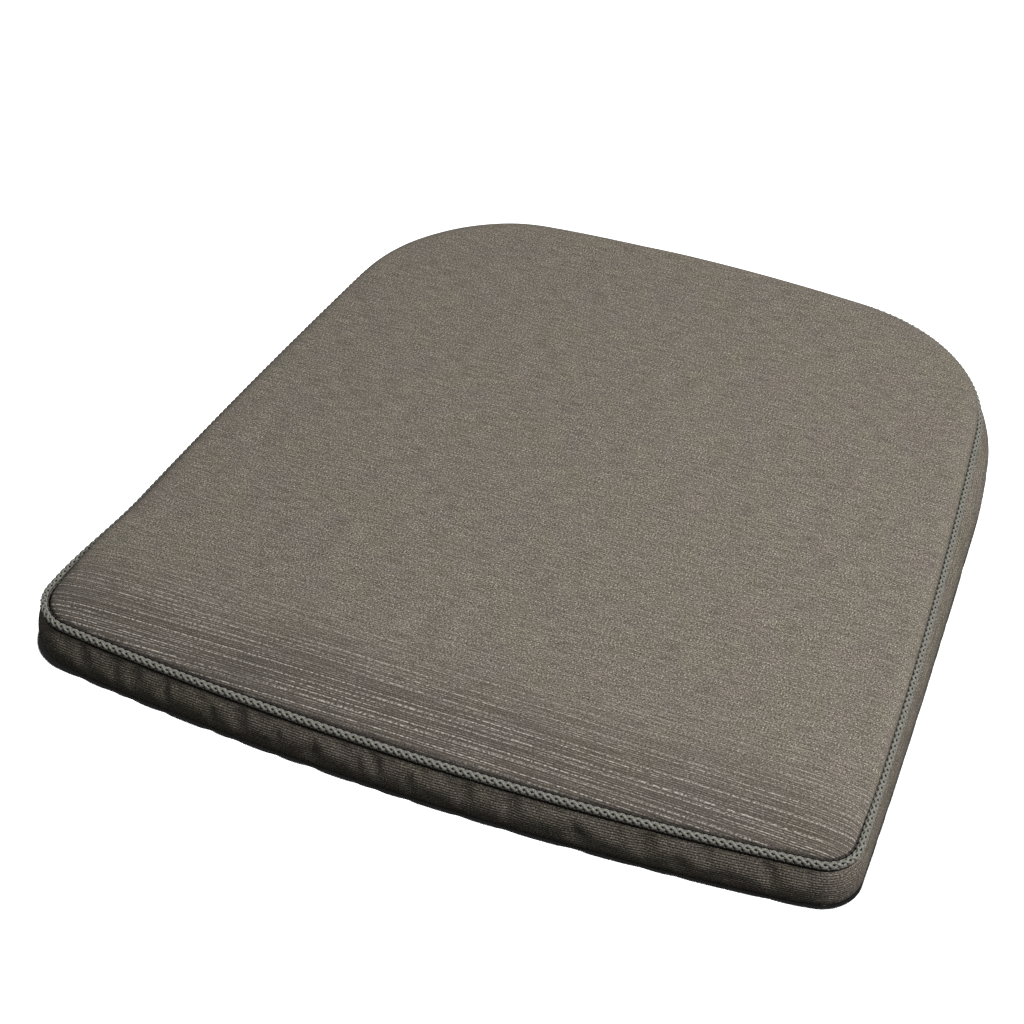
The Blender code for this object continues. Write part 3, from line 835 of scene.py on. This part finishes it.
def swept_cloth(arcs, steps, offsets, heights, closed=False):
    """(points, faces, weave) of a strip along the arcs from its sections, as (rows, columns) arrays."""
    seam, normals = outline(arcs, steps, closed)
    along, _ = distances(seam, closed)
    offsets = np.broadcast_to(offsets.T, (len(seam), len(offsets))).T
    heights = np.broadcast_to(heights.T, (len(seam), len(heights))).T
    down = np.zeros(offsets.shape)
    down[1:] = np.cumsum(np.hypot(np.diff(offsets, axis=0), np.diff(heights, axis=0)), axis=0)
    flat = seam[None] + normals[None] * offsets[:, :, None]
    points = np.concatenate([flat, heights[:, :, None]], axis=2)
    weave = np.stack([np.broadcast_to(along, down.shape), down], axis=2)
    faces = grid_faces(len(offsets), len(seam), closed, flip=True)
    return points.reshape(-1, 3), faces, weave.reshape(-1, 2)


GUSSET_ARCS = SEAM[5:] + SEAM[:4]
GUSSET_LENGTHS = ARC_LENGTHS[5:] + ARC_LENGTHS[:4]
SIM_SCALE = 10.0  # cloth this fine is simulated larger
SIM_FRAMES = 45
SIM_ROWS = 10
SIM_SPACING = 0.0038
FILLING_GAP = 0.0024  # between the gusset and the filling it can sink to
CLOTH_SETTINGS = {
    "quality": 6,
    "mass": 0.15,
    "tension_stiffness": 20,
    "compression_stiffness": 20,
    "shear_stiffness": 10,
    "bending_stiffness": 5.0,
    "air_damping": 3,
    "vertex_group_mass": "sewn",
    "vertex_group_shrink": "held",
    "shrink_min": -0.04,
    "shrink_max": -0.002,
    "use_pressure": True,
    "uniform_pressure_force": 0.6,
}
MOST_SUNK = 0.0026
MOST_OUT = 0.0008
SLACK_KNOTS = (
    (0, 0.15), (1.8, 0.2), (2.6, 0.8), (3.05, 1.0), (3.4, 0.7),
    (3.8, 0.35), (4.4, 0.3), (5.2, 0.1), (7, 0.05),
)


def gusset_places(steps):
    """Where the points of the gusset's outline lie, counted in arcs from the zip's left end."""
    places = [index + np.arange(count) / count for index, count in enumerate(steps)]
    return np.concatenate([*places, [len(steps)]])


def slack_of(places):
    """How loose the gusset's cloth is along it, from 0 to 1: most near its front left corner."""
    return np.interp(places, *zip(*SLACK_KNOTS))


def simulated_gathers():
    """How far the gusset's slack cloth bulges and sinks between its seams, as (places, down, outward)."""
    steps = [max(4, round(length / SIM_SPACING)) for length in GUSSET_LENGTHS]
    places = gusset_places(steps)
    offsets, heights = gusset_sections(places, SIM_ROWS)
    down = np.linspace(0, 1, SIM_ROWS)
    seam, normals = outline(GUSSET_ARCS, steps, False)
    along, total = distances(seam, False)
    chance = np.random.default_rng(5)
    started = gathers(along, down, total, chance, lambda share: 0.0012, 0.017, 0.004, 1.2)
    started *= np.sin(math.pi * down)[:, None] * slack_of(places)
    points, faces, _ = swept_cloth(GUSSET_ARCS, steps, offsets - started, heights)
    mesh = mesh_of("slack_gusset", points * SIM_SCALE, faces)
    cloth = bpy.data.objects.new("slack_gusset", mesh)
    wall_points, wall_faces, _ = swept_cloth(GUSSET_ARCS, steps, offsets - FILLING_GAP, heights)
    wall_mesh = mesh_of("filling_wall", wall_points * SIM_SCALE, wall_faces)
    wall = bpy.data.objects.new("filling_wall", wall_mesh)
    for helper in (cloth, wall):
        bpy.context.scene.collection.objects.link(helper)
    wall.modifiers.new("Collision", "COLLISION")
    wall.collision.thickness_outer = 0.002
    wall.collision.cloth_friction = 8
    columns = len(places)
    index = np.arange(len(points))
    row = index // columns
    column = index % columns
    sewn = (row == 0) | (row == SIM_ROWS - 1) | (column == 0) | (column == columns - 1)
    pins = cloth.vertex_groups.new(name="sewn")
    pins.add(index[sewn].tolist(), 1.0, "REPLACE")
    held = cloth.vertex_groups.new(name="held")
    for vertex, share in zip(index.tolist(), 1 - slack_of(places)[column]):
        held.add([vertex], float(share), "REPLACE")
    modifier = cloth.modifiers.new("Cloth", "CLOTH")
    for setting, value in CLOTH_SETTINGS.items():
        setattr(modifier.settings, setting, value)
    modifier.settings.effector_weights.gravity = 0
    modifier.collision_settings.distance_min = 0.003
    modifier.point_cache.frame_start = 1
    modifier.point_cache.frame_end = SIM_FRAMES
    scene = bpy.context.scene
    for frame_number in range(1, SIM_FRAMES + 1):
        scene.frame_set(frame_number)
    shaped = cloth.evaluated_get(bpy.context.evaluated_depsgraph_get()).to_mesh()
    found = np.empty(len(shaped.vertices) * 3, np.float32)
    shaped.vertices.foreach_get("co", found)
    found = found.reshape(SIM_ROWS, columns, 3) / SIM_SCALE
    scene.frame_set(1)
    for helper in (cloth, wall):
        bpy.data.objects.remove(helper)
    reached = ((found[:, :, :2] - seam[None]) * normals[None]).sum(axis=2)
    moved = reached - offsets
    bulged = MOST_OUT * np.tanh(moved / (2 * MOST_OUT))
    return places, down, np.where(moved > 0, bulged, np.maximum(moved, -MOST_SUNK))


def make_front_gusset(fabric):
    chance = np.random.default_rng(7)
    total = sum(GUSSET_LENGTHS)
    front_start = sum(GUSSET_LENGTHS[:3]) / total
    front_end = sum(GUSSET_LENGTHS[:4]) / total
    steps = [max(8, round(length / 0.0016)) for length in GUSSET_LENGTHS]
    places = gusset_places(steps)
    rows = 22
    offsets, heights = gusset_sections(places, rows)
    down = np.linspace(0, 1, rows)
    seam, _ = outline(GUSSET_ARCS, steps, False)
    along, _ = distances(seam, False)

    def tight(share):
        near_corner = min(abs(share - front_start), abs(share - front_end)) * total
        return 0.0011 * max(0.10, 1 - near_corner / 0.05)

    coarse_places, coarse_down, coarse = simulated_gathers()
    widened = np.array([np.interp(places, coarse_places, line) for line in coarse])
    moved = np.array([np.interp(down, coarse_down, line) for line in widened.T]).T
    moved *= smoothstep(1 - down, 0.10, 0.62)[:, None]
    drawn = gathers(along, down, total, chance, tight, 0.0040, 0.0010, 0.26)
    moved -= drawn * np.sin(math.pi * down)[:, None] ** 0.5
    points, faces, weave = swept_cloth(GUSSET_ARCS, steps, offsets + moved, heights)
    mesh = mesh_of("gusset_front_cloth", points, faces, weave)
    piece = add_piece("gusset_front_cloth", mesh, fabric)
    thicken(piece, CLOTH)
    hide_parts("gusset_front")


# The cord

STRANDS = 3  # that wind each way
STRAND_SIDES = 7
STEPS_PER_TURN = 18
BRAID_PITCH = 0.0135
BRAID_RADIUS = 0.00162
FILLER_RADIUS = BRAID_RADIUS - 0.0005
STRAND_HALF_WIDTH = 0.00082
STRAND_FLATNESS = 0.60
WEAVE_HEIGHT = 0.00036  # how far a strand rises and dips at a crossing
THREAD_RADIUS = 0.00032


def seam_at(share):
    """Points and outward normals at these shares of the way round the seam."""
    ends = np.cumsum([0] + ARC_LENGTHS)
    place = np.asarray(share) % 1.0 * SEAM_LENGTH
    index = np.clip(np.searchsorted(ends, place, side="right") - 1, 0, len(SEAM) - 1)
    centres = np.array([arc.centre for arc in SEAM])[index]
    radii = np.array([arc.radius for arc in SEAM])[index]
    starts = np.array([arc.start for arc in SEAM])[index]
    turns = starts + (place - ends[index]) / radii
    normals = np.stack([np.cos(turns), np.sin(turns)], axis=1)
    return settled(centres + radii[:, None] * normals), normals


def make_cord_tape(tape):
    low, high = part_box("cord_tape")
    rows = 6
    offsets = np.full((rows, 1), high.y - SEAM_BACK)
    heights = np.linspace(high.z, low.z, rows)[:, None]
    points, faces, _ = swept_cloth(SEAM, steps_of(0.006), offsets, heights, True)
    piece = add_piece("cord_tape_cloth", mesh_of("cord_tape_cloth", points, faces), tape)
    thicken(piece, CORD_TAPE_THICKNESS)
    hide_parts("cord_tape")


def make_cord(yarn, core_cloth):
    turns = round(SEAM_LENGTH / BRAID_PITCH)
    count = turns * STEPS_PER_TURN
    share = np.arange(count) / count
    seam, normals = seam_at(share)
    outward = raised(normals, 0.0)
    upward = np.broadcast_to([0.0, 0.0, 1.0], outward.shape)
    middle = raised(seam, SEAM_HEIGHT)
    along = share * SEAM_LENGTH
    pieces = []
    for hand, name in ((1, "right"), (-1, "left")):
        shapes = []
        for strand in range(STRANDS):
            wind = math.tau * turns * share
            turn = hand * wind + strand * math.tau / STRANDS
            reach = BRAID_RADIUS + hand * WEAVE_HEIGHT * np.cos(STRANDS * wind)
            radial = np.cos(turn)[:, None] * outward + np.sin(turn)[:, None] * upward
            path = middle + reach[:, None] * radial
            points, faces = tube(path, STRAND_HALF_WIDTH, STRAND_SIDES, True, STRAND_FLATNESS, radial)
            round_it = np.tile(np.arange(STRAND_SIDES) * math.tau / STRAND_SIDES, count)
            weave = np.column_stack([np.repeat(along, STRAND_SIDES), round_it])
            shapes.append((points, faces, weave))
        mesh = merge_meshes(f"cord_strands_{name}", shapes)
        piece = add_piece(f"cord_strands_{name}", mesh, yarn)
        pieces.append(piece)
    points, faces = tube(middle[::4], FILLER_RADIUS, 8, True)
    core = add_piece("cord_filler", mesh_of("cord_filler", points, faces), core_cloth)
    for piece in (*pieces, core):
        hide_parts("cord_trim")


def stitches(name, path, pitch, length, thread, replaced):
    """Separate stitches of thread along a path (N x 3)."""
    along, total = distances(path, False)
    count = int(total // pitch)
    ends = 5
    sides = 6
    shapes = []
    swell = np.sqrt(1 - np.linspace(-0.98, 0.98, ends) ** 2)
    for index in range(count):
        places = (index + 0.5) * pitch + np.linspace(-length / 2, length / 2, ends)
        line = np.column_stack([np.interp(places, along, path[:, axis]) for axis in range(3)])
        shapes.append(tube(line, THREAD_RADIUS * (0.35 + 0.65 * swell), sides, False))
    mesh = merge_meshes(name, shapes)
    piece = add_piece(name, mesh, thread)
    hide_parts(replaced)


def make_top_stitches(thread):
    low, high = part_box("top_seam_thread")
    offset = high.y - SEAM_BACK
    height = (low.z + high.z) / 2
    seam, normals = seam_at(np.linspace(0, 0.99999, 1401))
    path = raised(seam + normals * (offset - 0.0003), height - 0.0004)
    stitches("top_seam_stitches", path, 0.0036, 0.0031, thread, "top_seam_thread")


# The bottom

BOTTOM_RIM = ((0.0, 0.0009), (0.0009, 0.0003), (0.0022, 0.0))  # (how far in, height) of its rings


def make_bottom_panel(fabric):
    steps = steps_of(0.006)
    seam, normals = outline(SEAM, steps)
    low = around(BOTTOM_KNOTS, BOTTOM_SEAM_OFFSET, steps)[:, None]
    rim = seam + normals * (low - 0.0004)
    rings = [raised(rim - normals * inward, height) for inward, height in BOTTOM_RIM]
    inner = rings[-1][:, :2]
    middle = inner.mean(axis=0)
    for scale in np.linspace(1, 0, 26)[1:-1]:
        rings.append(raised(middle + (inner - middle) * scale, 0.0))
    points, faces, closing = domed(np.array(rings), [*middle, 0.0], flip=True)
    inside = smoothstep(np.arange(len(rings)) / len(rings), 0.05, 0.3)
    lift = np.concatenate([np.repeat(inside, len(rim)), [1.0]])
    points[:, 2] += lift * 0.0005 * (0.5 + 0.5 * noise_at(points, 0.06, 5))
    mesh = mesh_of("bottom_panel_cloth", points, faces, points[:, :2], closing)
    piece = add_piece("bottom_panel_cloth", mesh, fabric)
    thicken(piece, CLOTH)
    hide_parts("bottom_panel")


# The filling


def closed_rings(name, rings, low_middle, high_middle, finish, material_slot):
    """A closed solid through rings from its bottom to its top, which two points close."""
    count = rings.shape[1]
    points = np.concatenate([rings.reshape(-1, 3), [low_middle, high_middle]])
    faces = grid_faces(len(rings), count, True)
    last = (len(rings) - 1) * count
    closing = [face[::-1] for face in fan(0, count, len(points) - 2)]
    closing += fan(last, count, len(points) - 1)
    return add_piece(name, mesh_of(name, points, faces, None, closing), finish)


def make_foam(foam):
    steps = steps_of(0.010)
    inset = TOP - foam_high.z
    rings, middle, height = top_rings(steps, inset, 10, 16)
    below = [raised(rings[0][:, :2], z) for z in np.linspace(foam_low.z, SEAM_HEIGHT, 6)[:-1]]
    rings = np.concatenate([below, rings])
    rings[:, :, 2] += 0.0002 * noise_at(rings.reshape(-1, 3), 0.012, 3).reshape(rings.shape[:2])
    ends = ([*middle, foam_low.z], [*middle, height])
    piece = closed_rings("foam_block", rings, *ends, foam, "foam")
    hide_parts("foam_core")


def make_top_wadding(wadding):
    low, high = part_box("wadding_top")
    rings, middle, height = top_rings(steps_of(0.009), TOP - high.z + 0.0002, 12, 18)
    side = raised(rings[0][:, :2], low.z + 0.0003)
    points, faces, closing = domed(np.concatenate([[side], rings]), [*middle, height])
    points[:, 2] -= 0.0002 * (1 + noise_at(points, 0.010, 4))
    mesh = mesh_of("top_wadding", points, faces, None, closing)
    piece = add_piece("top_wadding", mesh, wadding)
    thicken(piece, WADDING_THICKNESS)
    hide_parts("wadding_top")


def make_bottom_wadding(wadding):
    low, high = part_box("wadding_bottom")
    steps = steps_of(0.010)
    seam, normals = outline(SEAM, steps)
    edge = seam + normals * (high.y - SEAM_BACK - 0.001)
    middle = edge.mean(axis=0)
    half = (high.z - low.z) / 2
    rings = []
    for turn in np.linspace(-math.pi / 2, math.pi / 2, 7):
        points = edge + normals * 0.001 * math.cos(turn)
        rings.append(raised(points, low.z + half * (1 + math.sin(turn))))
    for scale in np.linspace(1, 0, 14)[1:-1]:
        ring = middle + (edge - middle) * scale
        rings.insert(0, raised(ring, low.z))
        rings.append(raised(ring, high.z))
    ends = ([*middle, low.z], [*middle, high.z])
    piece = closed_rings("bottom_wadding", np.array(rings), *ends, wadding, "wadding")
    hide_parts("wadding_bottom")


EDGE_WADDING_INSET = 0.0036  # from the gusset's outside
EDGE_WADDING_LEAST = 0.0012  # its least width


def make_edge_wadding(wadding):
    low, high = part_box("edge_wadding")
    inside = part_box("wadding_bottom")[1].y - SEAM_BACK + 0.0005
    steps = steps_of(0.009)
    outside = around(BULGE_KNOTS, GUSSET_OFFSET, steps) - EDGE_WADDING_INSET
    outside = np.maximum(outside, inside + EDGE_WADDING_LEAST)
    seam, normals = outline(SEAM, steps)
    corners = 14
    rings = []
    for corner in range(corners):
        turn = math.tau * corner / corners
        across = math.copysign(abs(math.cos(turn)) ** 0.7, math.cos(turn))
        up = math.copysign(abs(math.sin(turn)) ** 0.7, math.sin(turn))
        offset = (inside + outside) / 2 + (outside - inside) / 2 * across
        height = (low.z + high.z) / 2 + (high.z - low.z) / 2 * up
        rings.append(raised(seam + normals * offset[:, None], height))
    points = np.array(rings).reshape(-1, 3)
    shift = 0.0003 * noise_at(points, 0.009, 6)
    centre = np.tile(seam + normals * ((inside + outside) / 2)[:, None], (corners, 1))
    points[:, :2] -= (points[:, :2] - centre) * (0.04 + shift[:, None] / 0.006)
    faces = grid_faces(corners, len(seam), True, over=True, flip=True)
    mesh = mesh_of("edge_wadding_roll", points, faces)
    piece = add_piece("edge_wadding_roll", mesh, wadding)
    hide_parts("edge_wadding")


# The zip, in the back of the gusset

ZIP_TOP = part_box("gusset_rear_upper")[0].z
ZIP_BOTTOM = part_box("gusset_rear_lower")[1].z
ZIP_HEIGHT = (ZIP_TOP + ZIP_BOTTOM) / 2
SEWN_GAP = 0.0003
COIL_WIRE = 0.00030
COIL_PITCH = 0.00125
COIL_STEPS = 12  # in each turn
COIL_MARGIN = 0.0072  # from the end of the back edge
COIL_INNER = 0.00030  # half the gap between the coils
COIL_DEPTH = 0.00075  # from the coil's face to its middle
SLIDER_LENGTH = 0.009
SLIDER_WIDTH = 0.007
SLIDER_PLATE = 0.0010
SLIDER_BACK_PLATE = 0.0009
SLIDER_EDGE = 0.0002  # the rounding of its plates
LOOP_WIRE = 0.00045
LOOP_HALF_LENGTH = 0.00185
LOOP_HEIGHT = 0.00245
TAB_LENGTH = 0.017
TAB_WIDTH = 0.005
TAB_BAR = 0.0010
TAB_WINDOW = 0.0035
TAB_ARM = 0.0011
TAB_HOLE_RADIUS = 0.0010
TAB_HOLE_FROM_END = 0.0026
SHARP_ANGLE = math.radians(35)


def trimmed_arc(length):
    """The back edge of the seam, shortened by this length at each end."""
    turn = length / BACK_ARC.radius
    return BACK_ARC._replace(start=BACK_ARC.start + turn, end=BACK_ARC.end - turn)


def make_rear_gusset(fabric):
    chance = np.random.default_rng(11)
    offsets, heights = zip_section(40)
    steps = [140]
    # Each strip's edge at the zip is folded in: its last three points turn away from the outside.
    fold = GUSSET_OFFSET - np.array([0.0, 0.00012, 0.0004])
    short = np.array([0.0005, 0.0002, 0.0])
    upper = heights > ZIP_TOP + 0.0006
    lower = heights < ZIP_BOTTOM - 0.0006
    strips = {
        "upper": (np.append(offsets[upper], fold), np.append(heights[upper], ZIP_TOP + short)),
        "lower": (
            np.append(fold[::-1], offsets[lower]),
            np.append((ZIP_BOTTOM - short)[::-1], heights[lower]),
        ),
    }
    arc = trimmed_arc(SEWN_GAP)
    seam, _ = outline([arc], steps, False)
    along, total = distances(seam, False)
    for name, (strip_offsets, strip_heights) in strips.items():
        down = np.linspace(0, 1, len(strip_offsets))
        drawn = gathers(along, down, total, chance, lambda share: 0.0005, 0.016, 0.004, 0.9)
        drawn *= np.sin(math.pi * down)[:, None] ** 0.7
        shape = swept_cloth([arc], steps, strip_offsets[:, None] - drawn, strip_heights[:, None])
        mesh = mesh_of(f"gusset_rear_{name}_cloth", *shape)
        piece = add_piece(f"gusset_rear_{name}_cloth", mesh, fabric)
        thicken(piece, CLOTH)
        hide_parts(f"gusset_rear_{name}")


def make_zip_tapes(tape):
    for name in ("upper", "lower"):
        low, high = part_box(f"zip_tape_{name}")
        rows = 9
        heights = np.linspace(high.z, low.z, rows)
        ribs = high.y - SEAM_BACK - 0.00003 * (1 + np.cos(np.arange(rows) * math.pi))
        shape = swept_cloth([trimmed_arc(SEWN_GAP)], [160], ribs[:, None], heights[:, None])
        mesh = mesh_of(f"zip_tape_{name}_cloth", *shape)
        piece = add_piece(f"zip_tape_{name}_cloth", mesh, tape)
        thicken(piece, TAPE_THICKNESS)
        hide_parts(f"zip_tape_{name}")


def make_zip_coils(nylon):
    for side, name in ((1, "upper"), (-1, "lower")):
        low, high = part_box(f"zip_coil_{name}")
        arc = trimmed_arc(COIL_MARGIN)
        length = arc.radius * (arc.end - arc.start)
        turns = round(length / COIL_PITCH)
        count = turns * COIL_STEPS
        seam, normals = outline([arc], [count], False)
        wind = np.arange(count + 1) * math.tau / COIL_STEPS
        outer = max(abs(low.z - ZIP_HEIGHT), abs(high.z - ZIP_HEIGHT))
        reach = (outer - COIL_INNER) / 2 - COIL_WIRE
        lead = math.pi / 2 * side
        offset = high.y - SEAM_BACK - COIL_DEPTH + (COIL_DEPTH - COIL_WIRE) * np.sin(wind * side)
        height = ZIP_HEIGHT + side * ((outer + COIL_INNER) / 2 + reach * np.cos(wind + lead))
        path = raised(seam + normals * offset[:, None], height)
        mesh = mesh_of(f"zip_teeth_{name}", *tube(path, COIL_WIRE, 6, False))
        piece = add_piece(f"zip_teeth_{name}", mesh, nylon)
        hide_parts(f"zip_coil_{name}")


def make_zip_stitches(thread):
    for name in ("upper", "lower"):
        low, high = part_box(f"zip_stitching_{name}")
        offset = high.y - SEAM_BACK - 0.0005
        seam, normals = outline([trimmed_arc(2 * SEWN_GAP)], [300], False)
        path = raised(seam + normals * offset, (low.z + high.z) / 2)
        stitches(f"zip_stitches_{name}", path, 0.0034, 0.0029, thread, f"zip_stitching_{name}")


def slider_axes():
    """The ways along the zip and outwards, the place on the seam, and how far out the pull's pin is."""
    pivot = next(j for j in frame["joints"] if j["name"] == "pull_swing")["pos_m"]
    away = Vector((pivot[0], pivot[1])) - BACK_ARC.centre
    out = away.normalized()
    place = BACK_ARC.centre + out * BACK_ARC.radius
    along = Vector((out.y, -out.x, 0))
    reach = away.length - BACK_ARC.radius
    return along, Vector((out.x, out.y, 0)), Vector((place.x, place.y, pivot[2])), reach


def placed(mesh, along, out, place):
    """Moves a mesh made with x along the zip, y out of the pad and z up to its place on the pad."""
    for vertex in mesh.vertices:
        x, y, z = vertex.co
        vertex.co = place + along * x + out * y + Vector((0, 0, z))


def flat_outline(name, loops, thickness, edge):
    """A flat part with rounded edges from closed outlines in x and z: its outside, then its holes."""
    curve = bpy.data.curves.new(name, "CURVE")
    curve.dimensions = "2D"
    curve.fill_mode = "BOTH"
    curve.extrude = thickness / 2 - edge
    curve.bevel_depth = edge
    curve.bevel_resolution = 2
    curve.offset = -edge
    for loop in loops:
        spline = curve.splines.new("POLY")
        spline.points.add(len(loop) - 1)
        for target, (x, z) in zip(spline.points, loop):
            target.co = (x, z, 0, 1)
        spline.use_cyclic_u = True
    helper = bpy.data.objects.new(name, curve)
    bpy.context.scene.collection.objects.link(helper)
    graph = bpy.context.evaluated_depsgraph_get()
    mesh = bpy.data.meshes.new_from_object(helper.evaluated_get(graph))
    bpy.data.objects.remove(helper)
    for vertex in mesh.vertices:
        x, z, y = vertex.co
        vertex.co = (x, -y, z)
    return mesh


def rounded_loop(left, right, half_width, rounding, steps=6):
    points = []
    high = half_width - rounding
    start = left + rounding
    end = right - rounding
    for quarter, (x, z) in enumerate(((end, high), (start, high), (start, -high), (end, -high))):
        for step in range(steps + 1):
            turn = math.pi / 2 * (quarter + step / steps)
            points.append((x + rounding * math.cos(turn), z + rounding * math.sin(turn)))
    return points


def round_loop(middle, radius, steps=16):
    turns = np.arange(steps) * math.tau / steps
    return [(middle + radius * math.cos(turn), radius * math.sin(turn)) for turn in turns]


def as_shape(mesh, shift):
    """(points, faces) of a mesh's triangles, moved."""
    mesh.calc_loop_triangles()
    points = np.array([vertex.co + Vector(shift) for vertex in mesh.vertices])
    faces = [tuple(triangle.vertices) for triangle in mesh.loop_triangles]
    return points, faces


def make_slider(zinc):
    along, out, place, pivot = slider_axes()
    outside = pivot - 0.0010
    half = SLIDER_LENGTH / 2
    wide = SLIDER_WIDTH / 2
    narrow = wide * 0.74
    upper_edge = [
        (-half, narrow * 0.55),
        (-half * 0.93, narrow * 0.9),
        (-half * 0.55, narrow),
        (0.0, wide * 0.93),
        (half * 0.62, wide),
        (half * 0.92, wide * 0.72),
        (half, wide * 0.25),
    ]
    shield = upper_edge + [(x, -z) for x, z in upper_edge[::-1]]
    front = flat_outline("slider_front", [shield], SLIDER_PLATE, SLIDER_EDGE)
    back_middle = GUSSET_BULGE - 0.0010 - 2 * SEWN_GAP - TAPE_THICKNESS - SLIDER_BACK_PLATE / 2
    rear = flat_outline("slider_rear", [shield], SLIDER_BACK_PLATE, SLIDER_EDGE)
    turns = np.linspace(0, math.pi, 15)
    arch = np.column_stack(
        [
            LOOP_HALF_LENGTH * np.cos(turns),
            outside - 0.0001 + LOOP_HEIGHT * np.sin(turns) ** 0.7,
            np.zeros(len(turns)),
        ]
    )
    upward = np.broadcast_to([0.0, 0.0, 1.0], arch.shape)
    points, faces = tube(arch, LOOP_WIRE, 10, False, 1.7, upward)
    web_loop = rounded_loop(-half + 0.0004, half - 0.0004, 0.0002, 0.00015)
    web = flat_outline("slider_web", [web_loop], outside - back_middle - SLIDER_PLATE / 2, 0.00002)
    shapes = [
        as_shape(front, (0, outside - SLIDER_PLATE / 2, 0)),
        as_shape(rear, (0, back_middle, 0)),
        (points, [tuple(face) for face in faces.tolist()]),
        as_shape(web, (0, (outside + back_middle) / 2 - SLIDER_PLATE / 4, 0)),
    ]
    for side in (1, -1):
        loop = rounded_loop(-half * 0.8, half * 0.75, 0.00027, 0.0002)
        loop = [(x * 0.94, side * z) for x, z in loop]
        rail = flat_outline("slider_rail", [loop], 0.0016, 0.00008)
        shift = (0, outside - SLIDER_PLATE - 0.0007, side * (narrow - 0.0003))
        shapes.append(as_shape(rail, shift))
    points = []
    faces = []
    for shape_points, shape_faces in shapes:
        faces += [tuple(index + len(points) for index in face) for face in shape_faces]
        points += list(map(tuple, shape_points))
    mesh = bpy.data.meshes.new("slider_body")
    mesh.from_pydata(points, [], faces)
    placed(mesh, along, out, place)
    piece = add_piece("slider_body", mesh, zinc, body="zip_slider")
    mesh.set_sharp_from_angle(angle=SHARP_ANGLE)
    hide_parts("zip_slider")


def make_pull_tab(zinc):
    along, out, place, pivot = slider_axes()
    bar = TAB_BAR / 2
    window = rounded_loop(-bar - TAB_WINDOW, -bar, TAB_WIDTH / 2 - TAB_ARM, 0.0004)
    body = tab_loop(bar - TAB_LENGTH, bar)
    hole = round_loop(bar - TAB_LENGTH + TAB_HOLE_FROM_END, TAB_HOLE_RADIUS)
    tab = flat_outline("pull_tab", [body, window, hole], 0.0010, 0.00018)
    for vertex in tab.vertices:
        vertex.co.y += pivot
    placed(tab, along, out, place)
    piece = add_piece("pull_tab", tab, zinc, body="zip_pull")
    tab.set_sharp_from_angle(angle=SHARP_ANGLE)
    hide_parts("zip_pull")


def tab_loop(left, right):
    """The pull tab's outside: square at its bar, waisted, and round at its end."""
    half = TAB_WIDTH / 2
    cut = 0.0003
    points = [(right - cut, half), (right, half - cut), (right, -half + cut), (right - cut, -half)]
    lower = [(-0.0045, -half), (-0.0075, -half * 0.72)]
    turns = np.linspace(-math.pi / 2, -3 * math.pi / 2, 15)
    end = [(left + half + half * math.cos(turn), half * math.sin(turn)) for turn in turns]
    upper = [(-0.0075, half * 0.72), (-0.0045, half)]
    return points + lower + end + upper


# Everything

pad_pieces = bpy.data.collections.new("pad_pieces")
stage_pieces = bpy.data.collections.new("stage_pieces")
bpy.context.scene.collection.children.link(stage_pieces)


def dress_frame(finishes):
    """Gives the CAD nodes that stay their finished materials."""
    for name, finish in finishes.items():
        node = frame["nodes"][name]
        node.data.materials.clear()
        node.data.materials.append(finish)
        pad_pieces.objects.link(node)


def main():
    make_camera()
    make_studio(pad_pieces, stage_pieces)
    top_cloth = cover_fabric("cover_top", FRONT_Y + 0.004, FRONT_Y + 0.082)
    # The gusset's cloth is the top's cloth painted 8 % darker, a painted shade
    side_cloth = cover_fabric("cover_side", -1.0, -0.9, 0.92)
    yarn = yarn_fabric("cord_yarn", (0.15, 0.15, 0.13), (0.43, 0.425, 0.375), 0.0016)
    # The cord's core is a real part, but it is painted near black: painted shade in the gaps of the braid
    black = (0.008, 0.008, 0.007)
    filler = plain_fabric("cord_filler", black, (0.020, 0.020, 0.017), 0.0004, 0.0001)
    tape = plain_fabric("tape", (0.10, 0.09, 0.078), (0.19, 0.175, 0.15), 0.0006, 0.0001)
    thread = plain_fabric("thread", (0.035, 0.032, 0.028), (0.09, 0.08, 0.07), 0.0003, 0.00005, 0.6)
    foam = plain_fabric("foam", (0.60, 0.54, 0.34), (0.82, 0.77, 0.56), 0.0009, 0.0004)
    wadding = plain_fabric("wadding", (0.72, 0.72, 0.70), (0.90, 0.90, 0.88), 0.0030, 0.0008)
    nylon = plastic("nylon", (0.055, 0.050, 0.044), (0.085, 0.078, 0.070), 0.42)
    zinc = metal("zinc", (0.26, 0.25, 0.23), (0.42, 0.40, 0.37), 0.28)
    make_top_panel(top_cloth)
    make_front_gusset(side_cloth)
    make_rear_gusset(side_cloth)
    make_bottom_panel(side_cloth)
    make_cord(yarn, filler)
    make_cord_tape(tape)
    make_top_stitches(thread)
    make_foam(foam)
    make_top_wadding(wadding)
    make_bottom_wadding(wadding)
    make_edge_wadding(wadding)
    make_zip_tapes(tape)
    make_zip_coils(nylon)
    make_zip_stitches(thread)
    make_slider(zinc)
    make_pull_tab(zinc)
    dress_frame({"zip_stop_closed_end": zinc, "zip_stop_open_end": zinc})


main()
